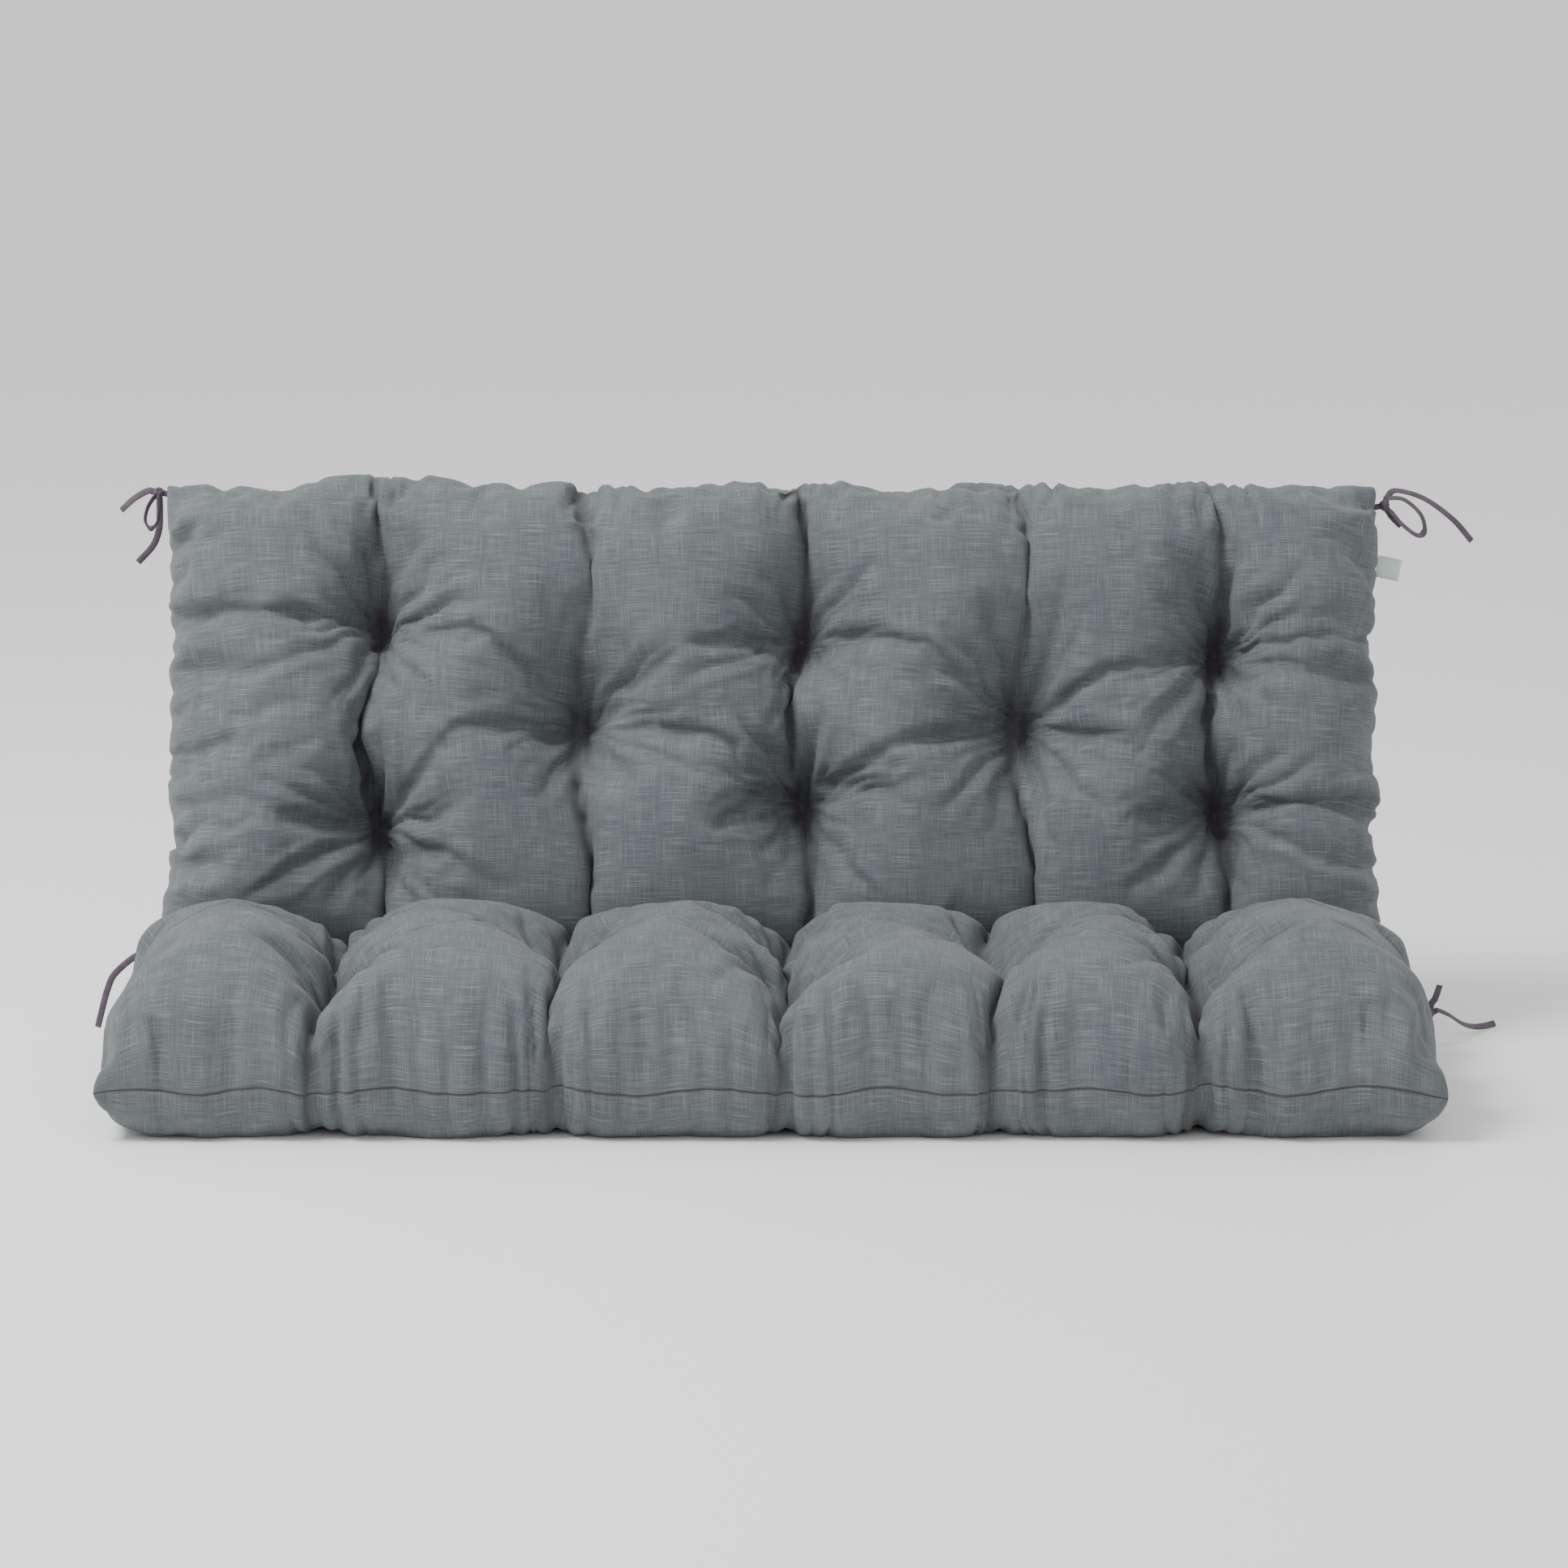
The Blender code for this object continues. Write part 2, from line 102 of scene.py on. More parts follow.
camera_data = bpy.data.cameras.new("camera")
camera_data.lens = LENS
camera_data.sensor_width = SENSOR
camera = bpy.data.objects.new("camera", camera_data)
camera.location = CAMERA_PLACE
camera.rotation_euler = (math.radians(90 - CAMERA_DOWN), 0.0, 0.0)
bpy.context.scene.collection.objects.link(camera)
bpy.context.scene.camera = camera
print("camera at", CAMERA_PLACE, "looking down", CAMERA_DOWN, "degrees")

# %% [markdown]
# ## Materials
# Every finish here is a cloth, a tape or a thread. All of them are dull: light goes in between
# the fibres and comes out scattered, so the shader gets a high roughness, little specular
# and a faint sheen for the loose fibre ends. One function adds a node with its settings and
# its links, and every pattern is measured in metres of the cut cloth.

# %% Helpers for materials
FIBRE_SPECULAR = 0.2      # less than smooth plastic, because fibres scatter what they reflect


def colour(code):
    """A hex colour as linear light."""
    parts = [int(code[at:at + 2], 16) / 255 for at in (1, 3, 5)]
    linear = [c / 12.92 if c <= 0.04045 else ((c + 0.055) / 1.055) ** 2.4 for c in parts]
    return (*linear, 1.0)


def add_node(tree, kind, inputs=None, **settings):
    """A shader node with its settings, and its inputs as constants or linked sockets."""
    node = tree.nodes.new(kind)
    for name, value in settings.items():
        setattr(node, name, value)
    for key, value in (inputs or {}).items():
        if isinstance(value, bpy.types.NodeSocket):
            tree.links.new(value, node.inputs[key])
        else:
            node.inputs[key].default_value = value
    return node


def new_material(name, roughness, sheen):
    """A material whose surface is one Principled shader, and the shader."""
    material = bpy.data.materials.new(name)
    material.use_nodes = True
    shader = material.node_tree.nodes["Principled BSDF"]
    shader.inputs["Roughness"].default_value = roughness
    shader.inputs["Sheen Weight"].default_value = sheen
    shader.inputs["Specular IOR Level"].default_value = FIBRE_SPECULAR
    return material, shader


def streaks(tree, metres, along, across, low, high, seed):
    """Noise drawn out along one yarn direction: 0 below low, 1 above high."""
    place = add_node(tree, "ShaderNodeMapping", {
        "Vector": metres, "Location": (seed, seed * 0.7, 0), "Scale": (along, across, 1)})
    noise = add_node(tree, "ShaderNodeTexNoise", {
        "Vector": place.outputs["Vector"], "Scale": 1.0, "Detail": 2.0}, noise_dimensions="2D")
    return add_node(tree, "ShaderNodeMapRange", {
        "Value": noise.outputs["Fac"], "From Min": low, "From Max": high}).outputs["Result"]


def weave(tree, metres, pitch):
    """The over-and-under relief of a plain weave: one wave for each yarn direction, multiplied."""
    parts = add_node(tree, "ShaderNodeSeparateXYZ", {"Vector": metres})
    yarns = []
    for axis in ("X", "Y"):
        turns = add_node(tree, "ShaderNodeMath", {0: parts.outputs[axis], 1: math.pi / pitch},
                         operation="MULTIPLY").outputs[0]
        yarns.append(add_node(tree, "ShaderNodeMath", {0: turns}, operation="SINE").outputs[0])
    return add_node(tree, "ShaderNodeMath", {0: yarns[0], 1: yarns[1]},
                    operation="MULTIPLY").outputs[0]


def lay_over(tree, tone, layers):
    """Colours laid one over another; each layer is where it lies, how much of it, its colour."""
    for where, share, code in layers:
        amount = add_node(tree, "ShaderNodeMath", {0: where, 1: share}, operation="MULTIPLY")
        mix = add_node(tree, "ShaderNodeMix", {0: amount.outputs[0], 6: tone, 7: colour(code)},
                       data_type="RGBA")
        tone = mix.outputs[2]
    return tone


# %% [markdown]
# ## The cover's cloth
# The cover is polyester and cotton slub: a plain weave whose yarns swell and thin at random.
# The eye sees light and dark streaks that run both ways, short across a yarn and long along
# it, and a small grain from the weave itself. Real yarns lie about 0.5 mm apart, which is too
# fine to show at this distance, so the relief of the weave is drawn at 1.1 mm.
# Streaks are noise stretched along one yarn direction, in the metres of the cut cloth, so
# they keep their size on every pad and bend with its folds. Two attributes of the mesh add
# painted shade deep in the pits and grooves, and a thin line of painted shade along the seam.

# %% Slub weave cloth
YARN_PITCH = 0.0011       # metres between the drawn yarns
SLUB_ACROSS = 1700        # streaks per metre across a yarn, one every 0.6 mm
SLUB_ALONG = 26           # streaks per metre along a yarn, one every 38 mm
CLOUDS = 9                # paler and darker patches per metre, from uneven dyeing
PAINTED_SEAM_LINE = 0.0006        # metres: the half width of the darkest part of the painted shade along the seam
SEAM_SHADE = 0.0020       # metres: where its shade has faded out
CLOTH_MID, CLOTH_DARK = "#5A5F61", "#52575A"
SLUB_LIGHT, SLUB_DARK = "#868E8E", "#3E3E45"
# the colour of the shade painted into the pits, the grooves and along the seam
PAINTED_SHADE_TONE = "#32262E"


def slub_cloth():
    """Polyester and cotton slub weave, mid grey, dull, with a faint bloom."""
    material, shader = new_material("slub weave cloth", roughness=0.92, sheen=0.12)
    tree = material.node_tree
    metres = add_node(tree, "ShaderNodeUVMap", uv_map="cloth").outputs["UV"]
    weft_light = streaks(tree, metres, SLUB_ALONG, SLUB_ACROSS, 0.52, 0.74, 1)
    warp_light = streaks(tree, metres, SLUB_ACROSS, SLUB_ALONG, 0.53, 0.76, 2)
    weft_dark = streaks(tree, metres, SLUB_ALONG * 0.7, SLUB_ACROSS * 0.8, 0.50, 0.72, 3)
    warp_dark = streaks(tree, metres, SLUB_ACROSS * 0.8, SLUB_ALONG * 0.7, 0.52, 0.74, 4)
    clouds = streaks(tree, metres, CLOUDS, CLOUDS, 0.3, 0.7, 5)
    # painted shade: deep darkens the pits and grooves towards the dark shade colour
    deep = add_node(tree, "ShaderNodeAttribute", attribute_name="deep").outputs["Fac"]
    hem = add_node(tree, "ShaderNodeAttribute", attribute_name="hem").outputs["Fac"]
    # painted shade along the seam: darkest on the seam line, gone where its shade fades out
    seam = add_node(tree, "ShaderNodeMapRange", {
        "Value": hem, "From Min": PAINTED_SEAM_LINE, "From Max": SEAM_SHADE,
        "To Min": 0.75, "To Max": 0.0}).outputs["Result"]
    tone = lay_over(tree, colour(CLOTH_DARK), (
        (clouds, 1.0, CLOTH_MID), (weft_dark, 0.55, SLUB_DARK), (warp_dark, 0.45, SLUB_DARK),
        (weft_light, 0.55, SLUB_LIGHT), (warp_light, 0.45, SLUB_LIGHT),
        (deep, 0.8, PAINTED_SHADE_TONE), (seam, 1.0, PAINTED_SHADE_TONE)))
    tree.links.new(tone, shader.inputs["Base Color"])
    slubs = add_node(tree, "ShaderNodeMath", {0: weft_light, 1: warp_light}, operation="ADD")
    relief = add_node(tree, "ShaderNodeMath", {
        0: weave(tree, metres, YARN_PITCH), 1: slubs.outputs[0]}, operation="ADD")
    bump = add_node(tree, "ShaderNodeBump", {
        "Height": relief.outputs[0], "Strength": 0.5, "Distance": 0.00015})
    tree.links.new(bump.outputs["Normal"], shader.inputs["Normal"])
    return material


cloth_finish = slub_cloth()
print("cover:", cloth_finish.name, len(cloth_finish.node_tree.nodes), "nodes")

# %% [markdown]
# ## Tape, label and thread
# The ties are narrow cotton tape, dull and dark grey-violet. The label is satin ribbon, smoother
# and nearly white. The tuft thread is spun polyester in the cover's grey. All three are narrow
# goods with fine ribs across them, so one function makes them all.

# %% Narrow goods
RIB_PITCH = 0.0007        # metres between ribs
WEAR_ALONG, WEAR_ACROSS = 160, 40         # patches of wear per metre


def narrow_tape(name, tone_hex, edge_hex, roughness):
    """A narrow woven tape: fine ribs across it, a little darker where the yarns dip."""
    material, shader = new_material(name, roughness, sheen=0.1)
    tree = material.node_tree
    metres = add_node(tree, "ShaderNodeUVMap", uv_map="cloth").outputs["UV"]
    ribs = weave(tree, metres, RIB_PITCH)
    patchy = streaks(tree, metres, WEAR_ALONG, WEAR_ACROSS, 0.35, 0.65, 7)
    tone = lay_over(tree, colour(tone_hex), ((patchy, 0.6, edge_hex),))
    tree.links.new(tone, shader.inputs["Base Color"])
    bump = add_node(tree, "ShaderNodeBump", {"Height": ribs, "Strength": 0.4, "Distance": 0.0001})
    tree.links.new(bump.outputs["Normal"], shader.inputs["Normal"])
    return material


tape_finish = narrow_tape("cotton tie tape", "#5A505A", "#473E48", 0.9)
label_finish = narrow_tape("satin label ribbon", "#CEDDD9", "#BFD0CB", 0.55)
thread_finish = narrow_tape("polyester tuft thread", "#505356", "#424548", 0.8)
print("materials", [m.name for m in bpy.data.materials])

# %% [markdown]
# ## Ties
# Four flat woven tapes hang the cushion on its bench. Each is one strip, doubled and knotted at
# a seam. It could be simulated as cloth, but a tape this narrow holds the bends it was left
# in, so it is made as runs of ribbon that start in a knot and follow a route. A route is a
# short list of given points, measured from its knot.

# %% Helpers for ribbons
TAPE_WIDTH = 0.0080
TAPE_THICK = 0.0007
RIBBON_SHARES = (-1.0, -0.6, 0.0, 0.6, 1.0)     # places across a ribbon, in half widths
PATH_STEP = 0.0012        # metres between the rings of a ribbon
THIN_EDGE = 0.5           # how much thinner a ribbon is at its edges
UNTWIST = 6               # rounds that even out how a ribbon twists
CURVE_STEPS = 20          # straight bits between two chosen points of a route


def smooth_path(points, step=PATH_STEP):
    """Evenly spaced points on a smooth curve through a few chosen ones."""
    ends = [2 * points[0] - points[1], *points, 2 * points[-1] - points[-2]]
    fine = []
    for a, b, c, d in zip(ends, ends[1:], ends[2:], ends[3:]):
        for index in range(CURVE_STEPS):
            u = index / CURVE_STEPS
            fine.append(0.5 * (2 * b + (c - a) * u + (2 * a - 5 * b + 4 * c - d) * u * u
                               + (3 * b - a - 3 * c + d) * u ** 3))
    fine = np.array([*fine, points[-1]])
    runs = np.concatenate([[0.0], np.cumsum(np.linalg.norm(np.diff(fine, axis=0), axis=1))])
    even = np.linspace(0.0, runs[-1], max(4, round(runs[-1] / step)) + 1)
    return [Vector(p) for p in np.stack([np.interp(even, runs, fine[:, k]) for k in range(3)], 1)]


def new_object(name, bm, finish, body):
    """A finished piece: its mesh at the origin, its material and the body it rides."""
    bmesh.ops.recalc_face_normals(bm, faces=bm.faces)
    mesh = bpy.data.meshes.new(name)
    bm.to_mesh(mesh)
    bm.free()
    mesh.shade_smooth()
    mesh.materials.append(finish)
    obj = bpy.data.objects.new(name, mesh)
    bpy.context.scene.collection.objects.link(obj)
    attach(obj, body)
    return obj


def direction_at(path, index):
    """Which way a path runs at one of its points."""
    return path[min(index + 1, len(path) - 1)] - path[max(index - 1, 0)]


def add_ribbon(bm, path, across, width, thick, cup=0.10):
    """A thin closed strip along a path; across gives its width direction at each point."""
    layer = bm.loops.layers.uv.get("cloth") or bm.loops.layers.uv.new("cloth")
    rings, runs = [], [0.0]
    for index, point in enumerate(path):
        out = direction_at(path, index).cross(across[index]).normalized()
        side = across[index].normalized()
        if index:
            runs.append(runs[-1] + (point - path[index - 1]).length)
        top, under = [], []
        for share in RIBBON_SHARES:
            middle = point + side * (share * width / 2) + out * (cup * width * (share ** 2 - 0.4))
            half = out * (thick / 2 * (1 - THIN_EDGE * share ** 4))
            top.append(bm.verts.new(middle + half))
            under.append(bm.verts.new(middle - half))
        rings.append(top + under[::-1])
    count = len(rings[0])
    for index, (first, second) in enumerate(zip(rings, rings[1:])):
        for k in range(count):
            after = (k + 1) % count
            face = bm.faces.new((first[k], first[after], second[after], second[k]))
            corners = ((index, k), (index, k + 1), (index + 1, k + 1), (index + 1, k))
            for loop, (at, ring) in zip(face.loops, corners):
                loop[layer].uv = (runs[at], ring * width / len(RIBBON_SHARES))
    bm.faces.new(rings[0][::-1])
    bm.faces.new(rings[-1])


def turned_across(path, facing, twist):
    """Width directions for a tape whose flat side starts out facing one way and twists."""
    across = []
    for index in range(len(path)):
        ahead = direction_at(path, index).normalized()
        flat = ahead.cross(Vector(facing))
        if flat.length < 0.05:
            flat = ahead.orthogonal()
        flat = flat.normalized()
        if across and flat.dot(across[-1]) < 0:
            flat = -flat
        turn = Matrix.Rotation(twist * index / (len(path) - 1), 3, ahead)
        across.append((turn @ flat).normalized())
    last = len(across) - 1
    for _ in range(UNTWIST):
        across = [(across[max(k - 1, 0)] + across[k] + across[min(k + 1, last)]).normalized()
                  for k in range(last + 1)]
    return across


print("tape", TAPE_WIDTH, "m wide and", TAPE_THICK, "m thick")

# %% [markdown]
# ## Knots and runs
# A knot is three turns of tape round a small core, and where it hangs on a seam a root of
# doubled tape is sewn into that seam. Each run leaves its knot straight, because the turns
# grip it, and only then hangs freely.

# %% Helpers for ties
KNOT_RADIUS = 0.0080
KNOT_CORE = 0.62          # the core and the turns, as shares of the knot's radius
TURN_REACH, TURN_RIPPLE, TURN_WIDTH = 0.66, 0.06, 0.72
TURN_STEPS = 32
INSIDE, LEAD_NEAR, LEAD_FAR = 0.004, 0.0084, 0.0125   # metres along a run's straight lead
FACING = (0, -1, 0.2)     # a tape's flat side faces the sitter unless a run says otherwise


def middle_of(node):
    """The middle of a CAD node's box."""
    low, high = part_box(node)
    return (low + high) / 2


def leads(direction, inside=True):
    """Points straight out of a knot, the first of them inside it."""
    out = Vector(direction).normalized()
    points = [out * LEAD_NEAR, out * LEAD_FAR]
    return [out * INSIDE] + points if inside else points


def tie_run(name, knot, offsets, body, facing=FACING, twist=0.0):
    """One run of tape: the finished ribbon and the path it follows."""
    path = smooth_path([middle_of(knot) + Vector(offset) for offset in offsets])
    bm = bmesh.new()
    add_ribbon(bm, path, turned_across(path, facing, math.radians(twist)), TAPE_WIDTH, TAPE_THICK)
    ribbon = new_object(f"{name}_ribbon", bm, tape_finish, body)
    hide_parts(name)
    return ribbon, path


def tie_knot(name, body, turns, root=None):
    """A knot: turns of tape round a small core, and the root that is sewn into the seam."""
    middle = middle_of(name)
    bm = bmesh.new()
    bmesh.ops.create_icosphere(bm, subdivisions=2, radius=KNOT_RADIUS * KNOT_CORE,
                               matrix=Matrix.Translation(middle))
    for tilt_x, tilt_z, shift in turns:
        turn = (Matrix.Rotation(math.radians(tilt_z), 3, "Z")
                @ Matrix.Rotation(math.radians(tilt_x), 3, "X"))
        ring = []
        for index in range(TURN_STEPS + 1):
            angle = 2 * math.pi * index / TURN_STEPS
            reach = KNOT_RADIUS * (TURN_REACH + TURN_RIPPLE * math.sin(3 * angle + tilt_z))
            ring.append(middle + turn @ Vector((math.cos(angle) * reach,
                                                math.sin(angle) * reach, shift)))
        across = [turn @ Vector((0, 0, 1))] * len(ring)
        add_ribbon(bm, ring, across, KNOT_RADIUS * TURN_WIDTH, TAPE_THICK * 1.6, cup=-0.12)
    if root:
        path = smooth_path([middle, middle + Vector(root) * 0.5, middle + Vector(root)])
        add_ribbon(bm, path, turned_across(path, FACING, 0.0), TAPE_WIDTH * 0.9, TAPE_THICK * 2)
    knot = new_object(f"{name}_turns", bm, tape_finish, body)
    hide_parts(name)
    return knot


# %% Upper left tie
knot = "tie_top_left_knot"
top_left_knot = tie_knot(knot, "backrest", [(20, 10, 0.001), (75, 50, 0.0), (95, 140, -0.001)],
                         (0.016, 0, -0.003))
tie_run("tie_top_left_tail_a", knot, [
    *leads((-0.98, 0.10, 0.15)), (-0.021, 0.002, -0.002), (-0.033, 0.002, -0.010),
    (-0.046, 0.002, -0.022)], "backrest", twist=25)
tie_run("tie_top_left_loop", knot, [
    *leads((-0.60, -0.35, -0.72)), (-0.013, -0.008, -0.019), (-0.015, -0.013, -0.033),
    (-0.008, -0.017, -0.041), (0, -0.018, -0.034), (0.002, -0.015, -0.019),
    *reversed(leads((0.05, -0.75, -0.66), False))], "backrest", (1, -0.4, 0))
tie_run("tie_top_left_tail_b", knot, [
    *leads((0, 0.45, -0.90)), (0, 0.005, -0.026), (-0.001, 0.003, -0.045),
    (-0.008, -0.002, -0.064), (-0.026, -0.005, -0.084)], "backrest", twist=-20)

# %% Upper right tie
knot = "tie_top_right_knot"
top_right_knot = tie_knot(knot, "backrest", [(70, 20, 0.0), (15, 80, 0.001), (100, 110, 0.0)],
                          (-0.016, 0, -0.003))
top_right_cut, _ = tie_run("tie_top_right_cut_end", knot, [
    *leads((0.50, 0.55, -0.67)), (0.011, 0.007, -0.015), (0.022, 0.009, -0.026)],
    "backrest", twist=15)
tie_run("tie_top_right_loop", knot, [
    *leads((0.75, -0.30, -0.60)), (0.021, -0.008, -0.021), (0.039, -0.011, -0.034),
    (0.048, -0.012, -0.028), (0.043, -0.011, -0.009), (0.024, -0.008, 0.008),
    *reversed(leads((0.55, -0.30, 0.80), False))], "backrest", (0.5, -0.5, 0.6))
tie_run("tie_top_right_tail", knot, [
    *leads((0.35, 0.60, 0.72)), (0.015, 0.011, 0.017), (0.049, 0.016, 0.007),
    (0.084, 0.017, -0.018), (0.108, 0.017, -0.045)], "backrest", (0.3, -0.5, 0.8), 30)

# %% Lower left tie
knot = "tie_low_left_knot"
low_left_knot = tie_knot(knot, "backrest", [(40, 0, 0.0), (80, 70, 0.001), (10, 30, -0.001)],
                         (0.018, 0, 0))
low_left_cut, _ = tie_run("tie_low_left_cut_end", knot, [
    *leads((-0.10, -0.60, -0.79)), (-0.007, -0.010, -0.021), (-0.015, -0.013, -0.033)],
    "backrest", twist=30)
tie_run("tie_low_left_tail", knot, [
    *leads((-0.80, -0.20, -0.55)), (-0.028, -0.005, -0.017), (-0.048, -0.007, -0.035),
    (-0.056, -0.007, -0.052), (-0.062, -0.007, -0.072), (-0.069, -0.007, -0.099)],
    "backrest", (0.5, -1, 0.3), 40)

# %% Lower right tie
knot = "tie_low_right_knot"
low_right_knot = tie_knot(knot, "seat", [(85, 15, 0.0), (20, 60, 0.001), (60, 120, 0.0)])
TO_SEAM = Vector((-0.030, 0.0, 0.015))
low_right_root, _ = tie_run("tie_low_right_root", knot, [
    TO_SEAM + Vector((-0.004, 0, 0)), TO_SEAM + Vector((0.0007, 0, 0)),
    TO_SEAM + Vector((0.010, 0, -0.001)), *reversed(leads((-0.90, 0, 0.43)))], "seat")
low_right_cut, _ = tie_run("tie_low_right_cut_end", knot, [
    *leads((0.20, -0.10, 0.97)), (0.007, -0.002, 0.019), (0.012, -0.003, 0.035)],
    "seat", twist=20)
tie_run("tie_low_right_tail", knot, [
    *leads((0.90, 0.35, 0.25)), (0.026, 0.015, -0.005), (0.044, 0.037, -0.020),
    (0.061, 0.063, -0.030), (0.078, 0.089, -0.035), (0.093, 0.112, -0.037)],
    "seat", (0.2, -0.5, 0.8), 35)

# %% [markdown]
# ## The form of a stuffed pad
# A tufted pad is a flat bag of cloth, filled with fibre and pulled in by threads. It could be
# sculpted, or blown up from a flat bag by the cloth simulation alone, but a bag blown up from
# flat doesn't find its deep grooves. So a height is worked out for every point of the pad
# first, and the cloth is simulated from there. Everything that differs between the seat and
# the backrest is in these two tables; lengths are in metres.

# %% What the two pads are like
# crown, groove and pit are heights above the seam: in the middle of a column, on the line
# between columns and in a pit. flat is the depth of the plain side. fade says how soon a
# groove dies out past its last tuft, and notch how far each line draws in the free edge.
# slope keeps the pads apart at the fold. crease is the depth of the soft creases, and linked
# how far out they are strong. slack is how much larger the cloth is cut than its stuffing.
# At the held places the seam isn't drawn in, because a tie or the label is sewn there.
SEAT = {
    "name": "seat", "half": SEAT_HALF, "length": SEAT_LENGTH, "place": SEAT_PLACE,
    "crown": 0.120, "groove": 0.050, "pit": 0.024, "flat": PAD_FLAT, "fade": 0.30,
    "slope": math.tan(math.radians(46)), "crease": 0.016, "linked": 0.55, "slack": 0.12,
    "notch": (1.0, 1.0, 1.0, 1.0, 1.0), "notch_depth": 0.016, "flare": 0.0, "seed": 3,
    "held": [(SEAT_HALF, 0.015)],
}
BACK = {
    "name": "back", "half": BACK_HALF, "length": BACK_LENGTH, "place": BACK_PLACE,
    "crown": 0.086, "groove": 0.022, "pit": 0.002, "flat": PAD_FLAT, "fade": 0.10,
    "slope": math.tan(math.radians(39)), "crease": 0.010, "linked": 1.0, "slack": 0.12,
    "notch": (0.3, 1.0, 1.0, 0.6, 0.2), "notch_depth": 0.008, "flare": 0.018, "seed": 5,
    "held": [(-BACK_HALF, 0.606), (BACK_HALF, 0.590), (-BACK_HALF, 0.064), (BACK_HALF, 0.520)],
}
TUFTS = range(1, 9)       # the numbers of each pad's tufts
COLUMNS = 6               # stuffed columns across a pad
FOLD_GAP = 0.004          # the pads' rims stay this far from the fold's axis


def tuft_places(pad):
    """The tufts lie where the CAD threads come out, in the pad's own coordinates."""
    back = pad["place"].inverted()
    places = []
    for number in TUFTS:
        low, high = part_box(f"{pad['name']}_tuft_thread_{number}")
        middle = back @ ((low + high) / 2)
        places.append((middle.x, middle.y))
    return places


for pad in (SEAT, BACK):
    pad["tufts"] = tuft_places(pad)
    pad["lines"] = sorted({round(x, 4) for x, t in pad["tufts"]})
    print(pad["name"], "lines between columns", pad["lines"])


# %% Simple shapes
def round_rise(distance, reach, power=2.0):
    """A rounded edge: 0 at the seam, and level from some reach onwards."""
    share = np.clip(distance / reach, 0.0, 1.0)
    return (1.0 - (1.0 - share) ** power) ** (1.0 / power)


def segment_distance(x, t, a, b):
    """Distance of each point to the line from a to b, and how far along it lies."""
    ax, at, bx, bt = *a, *b
    dx, dt = bx - ax, bt - at
    share = np.clip(((x - ax) * dx + (t - at) * dt) / (dx * dx + dt * dt), 0.0, 1.0)
    return np.hypot(x - ax - share * dx, t - at - share * dt), share


def waves(x, t, rng, size, count=10):
    """A smooth, seeded, random field between about -1 and 1, with waves of about this size."""
    total = 0.0
    for _ in range(count):
        turn, phase = rng.uniform(0, math.pi), rng.uniform(0, 2 * math.pi)
        pace = 2 * math.pi / size * rng.uniform(0.7, 1.4)
        total = total + np.sin(pace * (x * math.cos(turn) + t * math.sin(turn)) + phase)
    return total / math.sqrt(count)


# %% [markdown]
# ## Columns and grooves
# The tufts stand on lines, and the cloth is pulled in all along a line, so the stuffing
# gathers in columns between them. A hand-stuffed pad is never quite straight: its lines sway.

# %% Columns and grooves
ROUND = 3.0               # 2 would make a column round, and more makes it squarer
SWAY, SWAY_SIZE = 0.009, 0.30             # how far the lines sway, and over what length
NOTCH_REACH = 0.10        # how far in from the free edge a line's notch reaches


def column_bulge(x, pad):
    """0 on the lines between columns, rising round and full to 1 in the middle of a column."""
    ends = [-pad["half"], *pad["lines"], pad["half"]]
    count = np.interp(x, ends, range(len(ends)))
    off = np.abs(2 * (count - np.floor(count)) - 1)
    bulge = np.maximum(1.0 - off ** ROUND, 0.0) ** (1 / ROUND)
    outer = (count < 0.5) | (count > len(ends) - 1.5)
    return np.where(outer, 1.0, bulge)


def groove_strength(x, t, pad):
    """Grooves are deep from the fold to a line's last tuft and fade out beyond it."""
    lines = np.array(pad["lines"])
    line = np.abs(x[:, None] - lines).argmin(1)
    last = np.array([max(tt for tx, tt in pad["tufts"] if abs(tx - at) < 0.001) for at in lines])
    beyond = np.maximum(t - last[line], 0.0)
    notch = np.array(pad["notch"])[line] * np.exp(-((pad["length"] - t) / NOTCH_REACH) ** 2)
    return np.clip(np.exp(-(beyond / pad["fade"]) ** 2) + notch, 0.0, 1.0)


def wander(t, pad):
    """How far the lines between columns have swayed at each point."""
    return SWAY * waves(t, 0 * t, np.random.default_rng(pad["seed"] + 50), SWAY_SIZE)


# %% [markdown]
# ## Soft creases
# Between two tufts the cloth hangs in a soft fold, like a garland, and from the outer tufts it
# runs to the side seams. Each crease here is two straight lines that meet in a bowed middle.

# %% Soft creases
NEAR_PITCHES = 1.3        # tufts further apart than this many columns share no crease
NEAR_LENGTHS = 0.3        # and the same along the pad, as a share of its length
BOW = (0.65, 0.95)        # how far up the middle of a crease lies
SIDE_DROP = 0.03          # metres that a side crease may rise or fall


def crease_links(pad):
    """Bowed creases (start, middle, end): between tufts on neighbouring lines, and to the sides."""
    rng = np.random.default_rng(pad["seed"] + 400)
    half, length = pad["half"], pad["length"]
    reach = 2 * half / COLUMNS * NEAR_PITCHES
    links = []
    for a in pad["tufts"]:
        for b in pad["tufts"]:
            if 0.02 < b[0] - a[0] < reach and abs(a[1] - b[1]) < length * NEAR_LENGTHS:
                low, high = (a, b) if a[1] < b[1] else (b, a)
                bow = rng.uniform(*BOW)
                middle = (low[0] + 0.45 * (high[0] - low[0]), low[1] + bow * (high[1] - low[1]))
                links.append((low, middle, high))
        if half - abs(a[0]) < reach:
            side = math.copysign(half, a[0])
            drop = rng.uniform(-SIDE_DROP, SIDE_DROP)
            links.append((a, ((a[0] + side) / 2, a[1] + 0.012), (side, a[1] + drop)))
    return links


def link_distance(x, t, link):
    """Distance to a bowed crease, and how near the point is to its middle, from 0 to 1."""
    first, share_first = segment_distance(x, t, link[0], link[1])
    second, share_second = segment_distance(x, t, link[1], link[2])
    nearer = first < second
    return np.minimum(first, second), np.where(nearer, share_first, 1.0 - share_second)


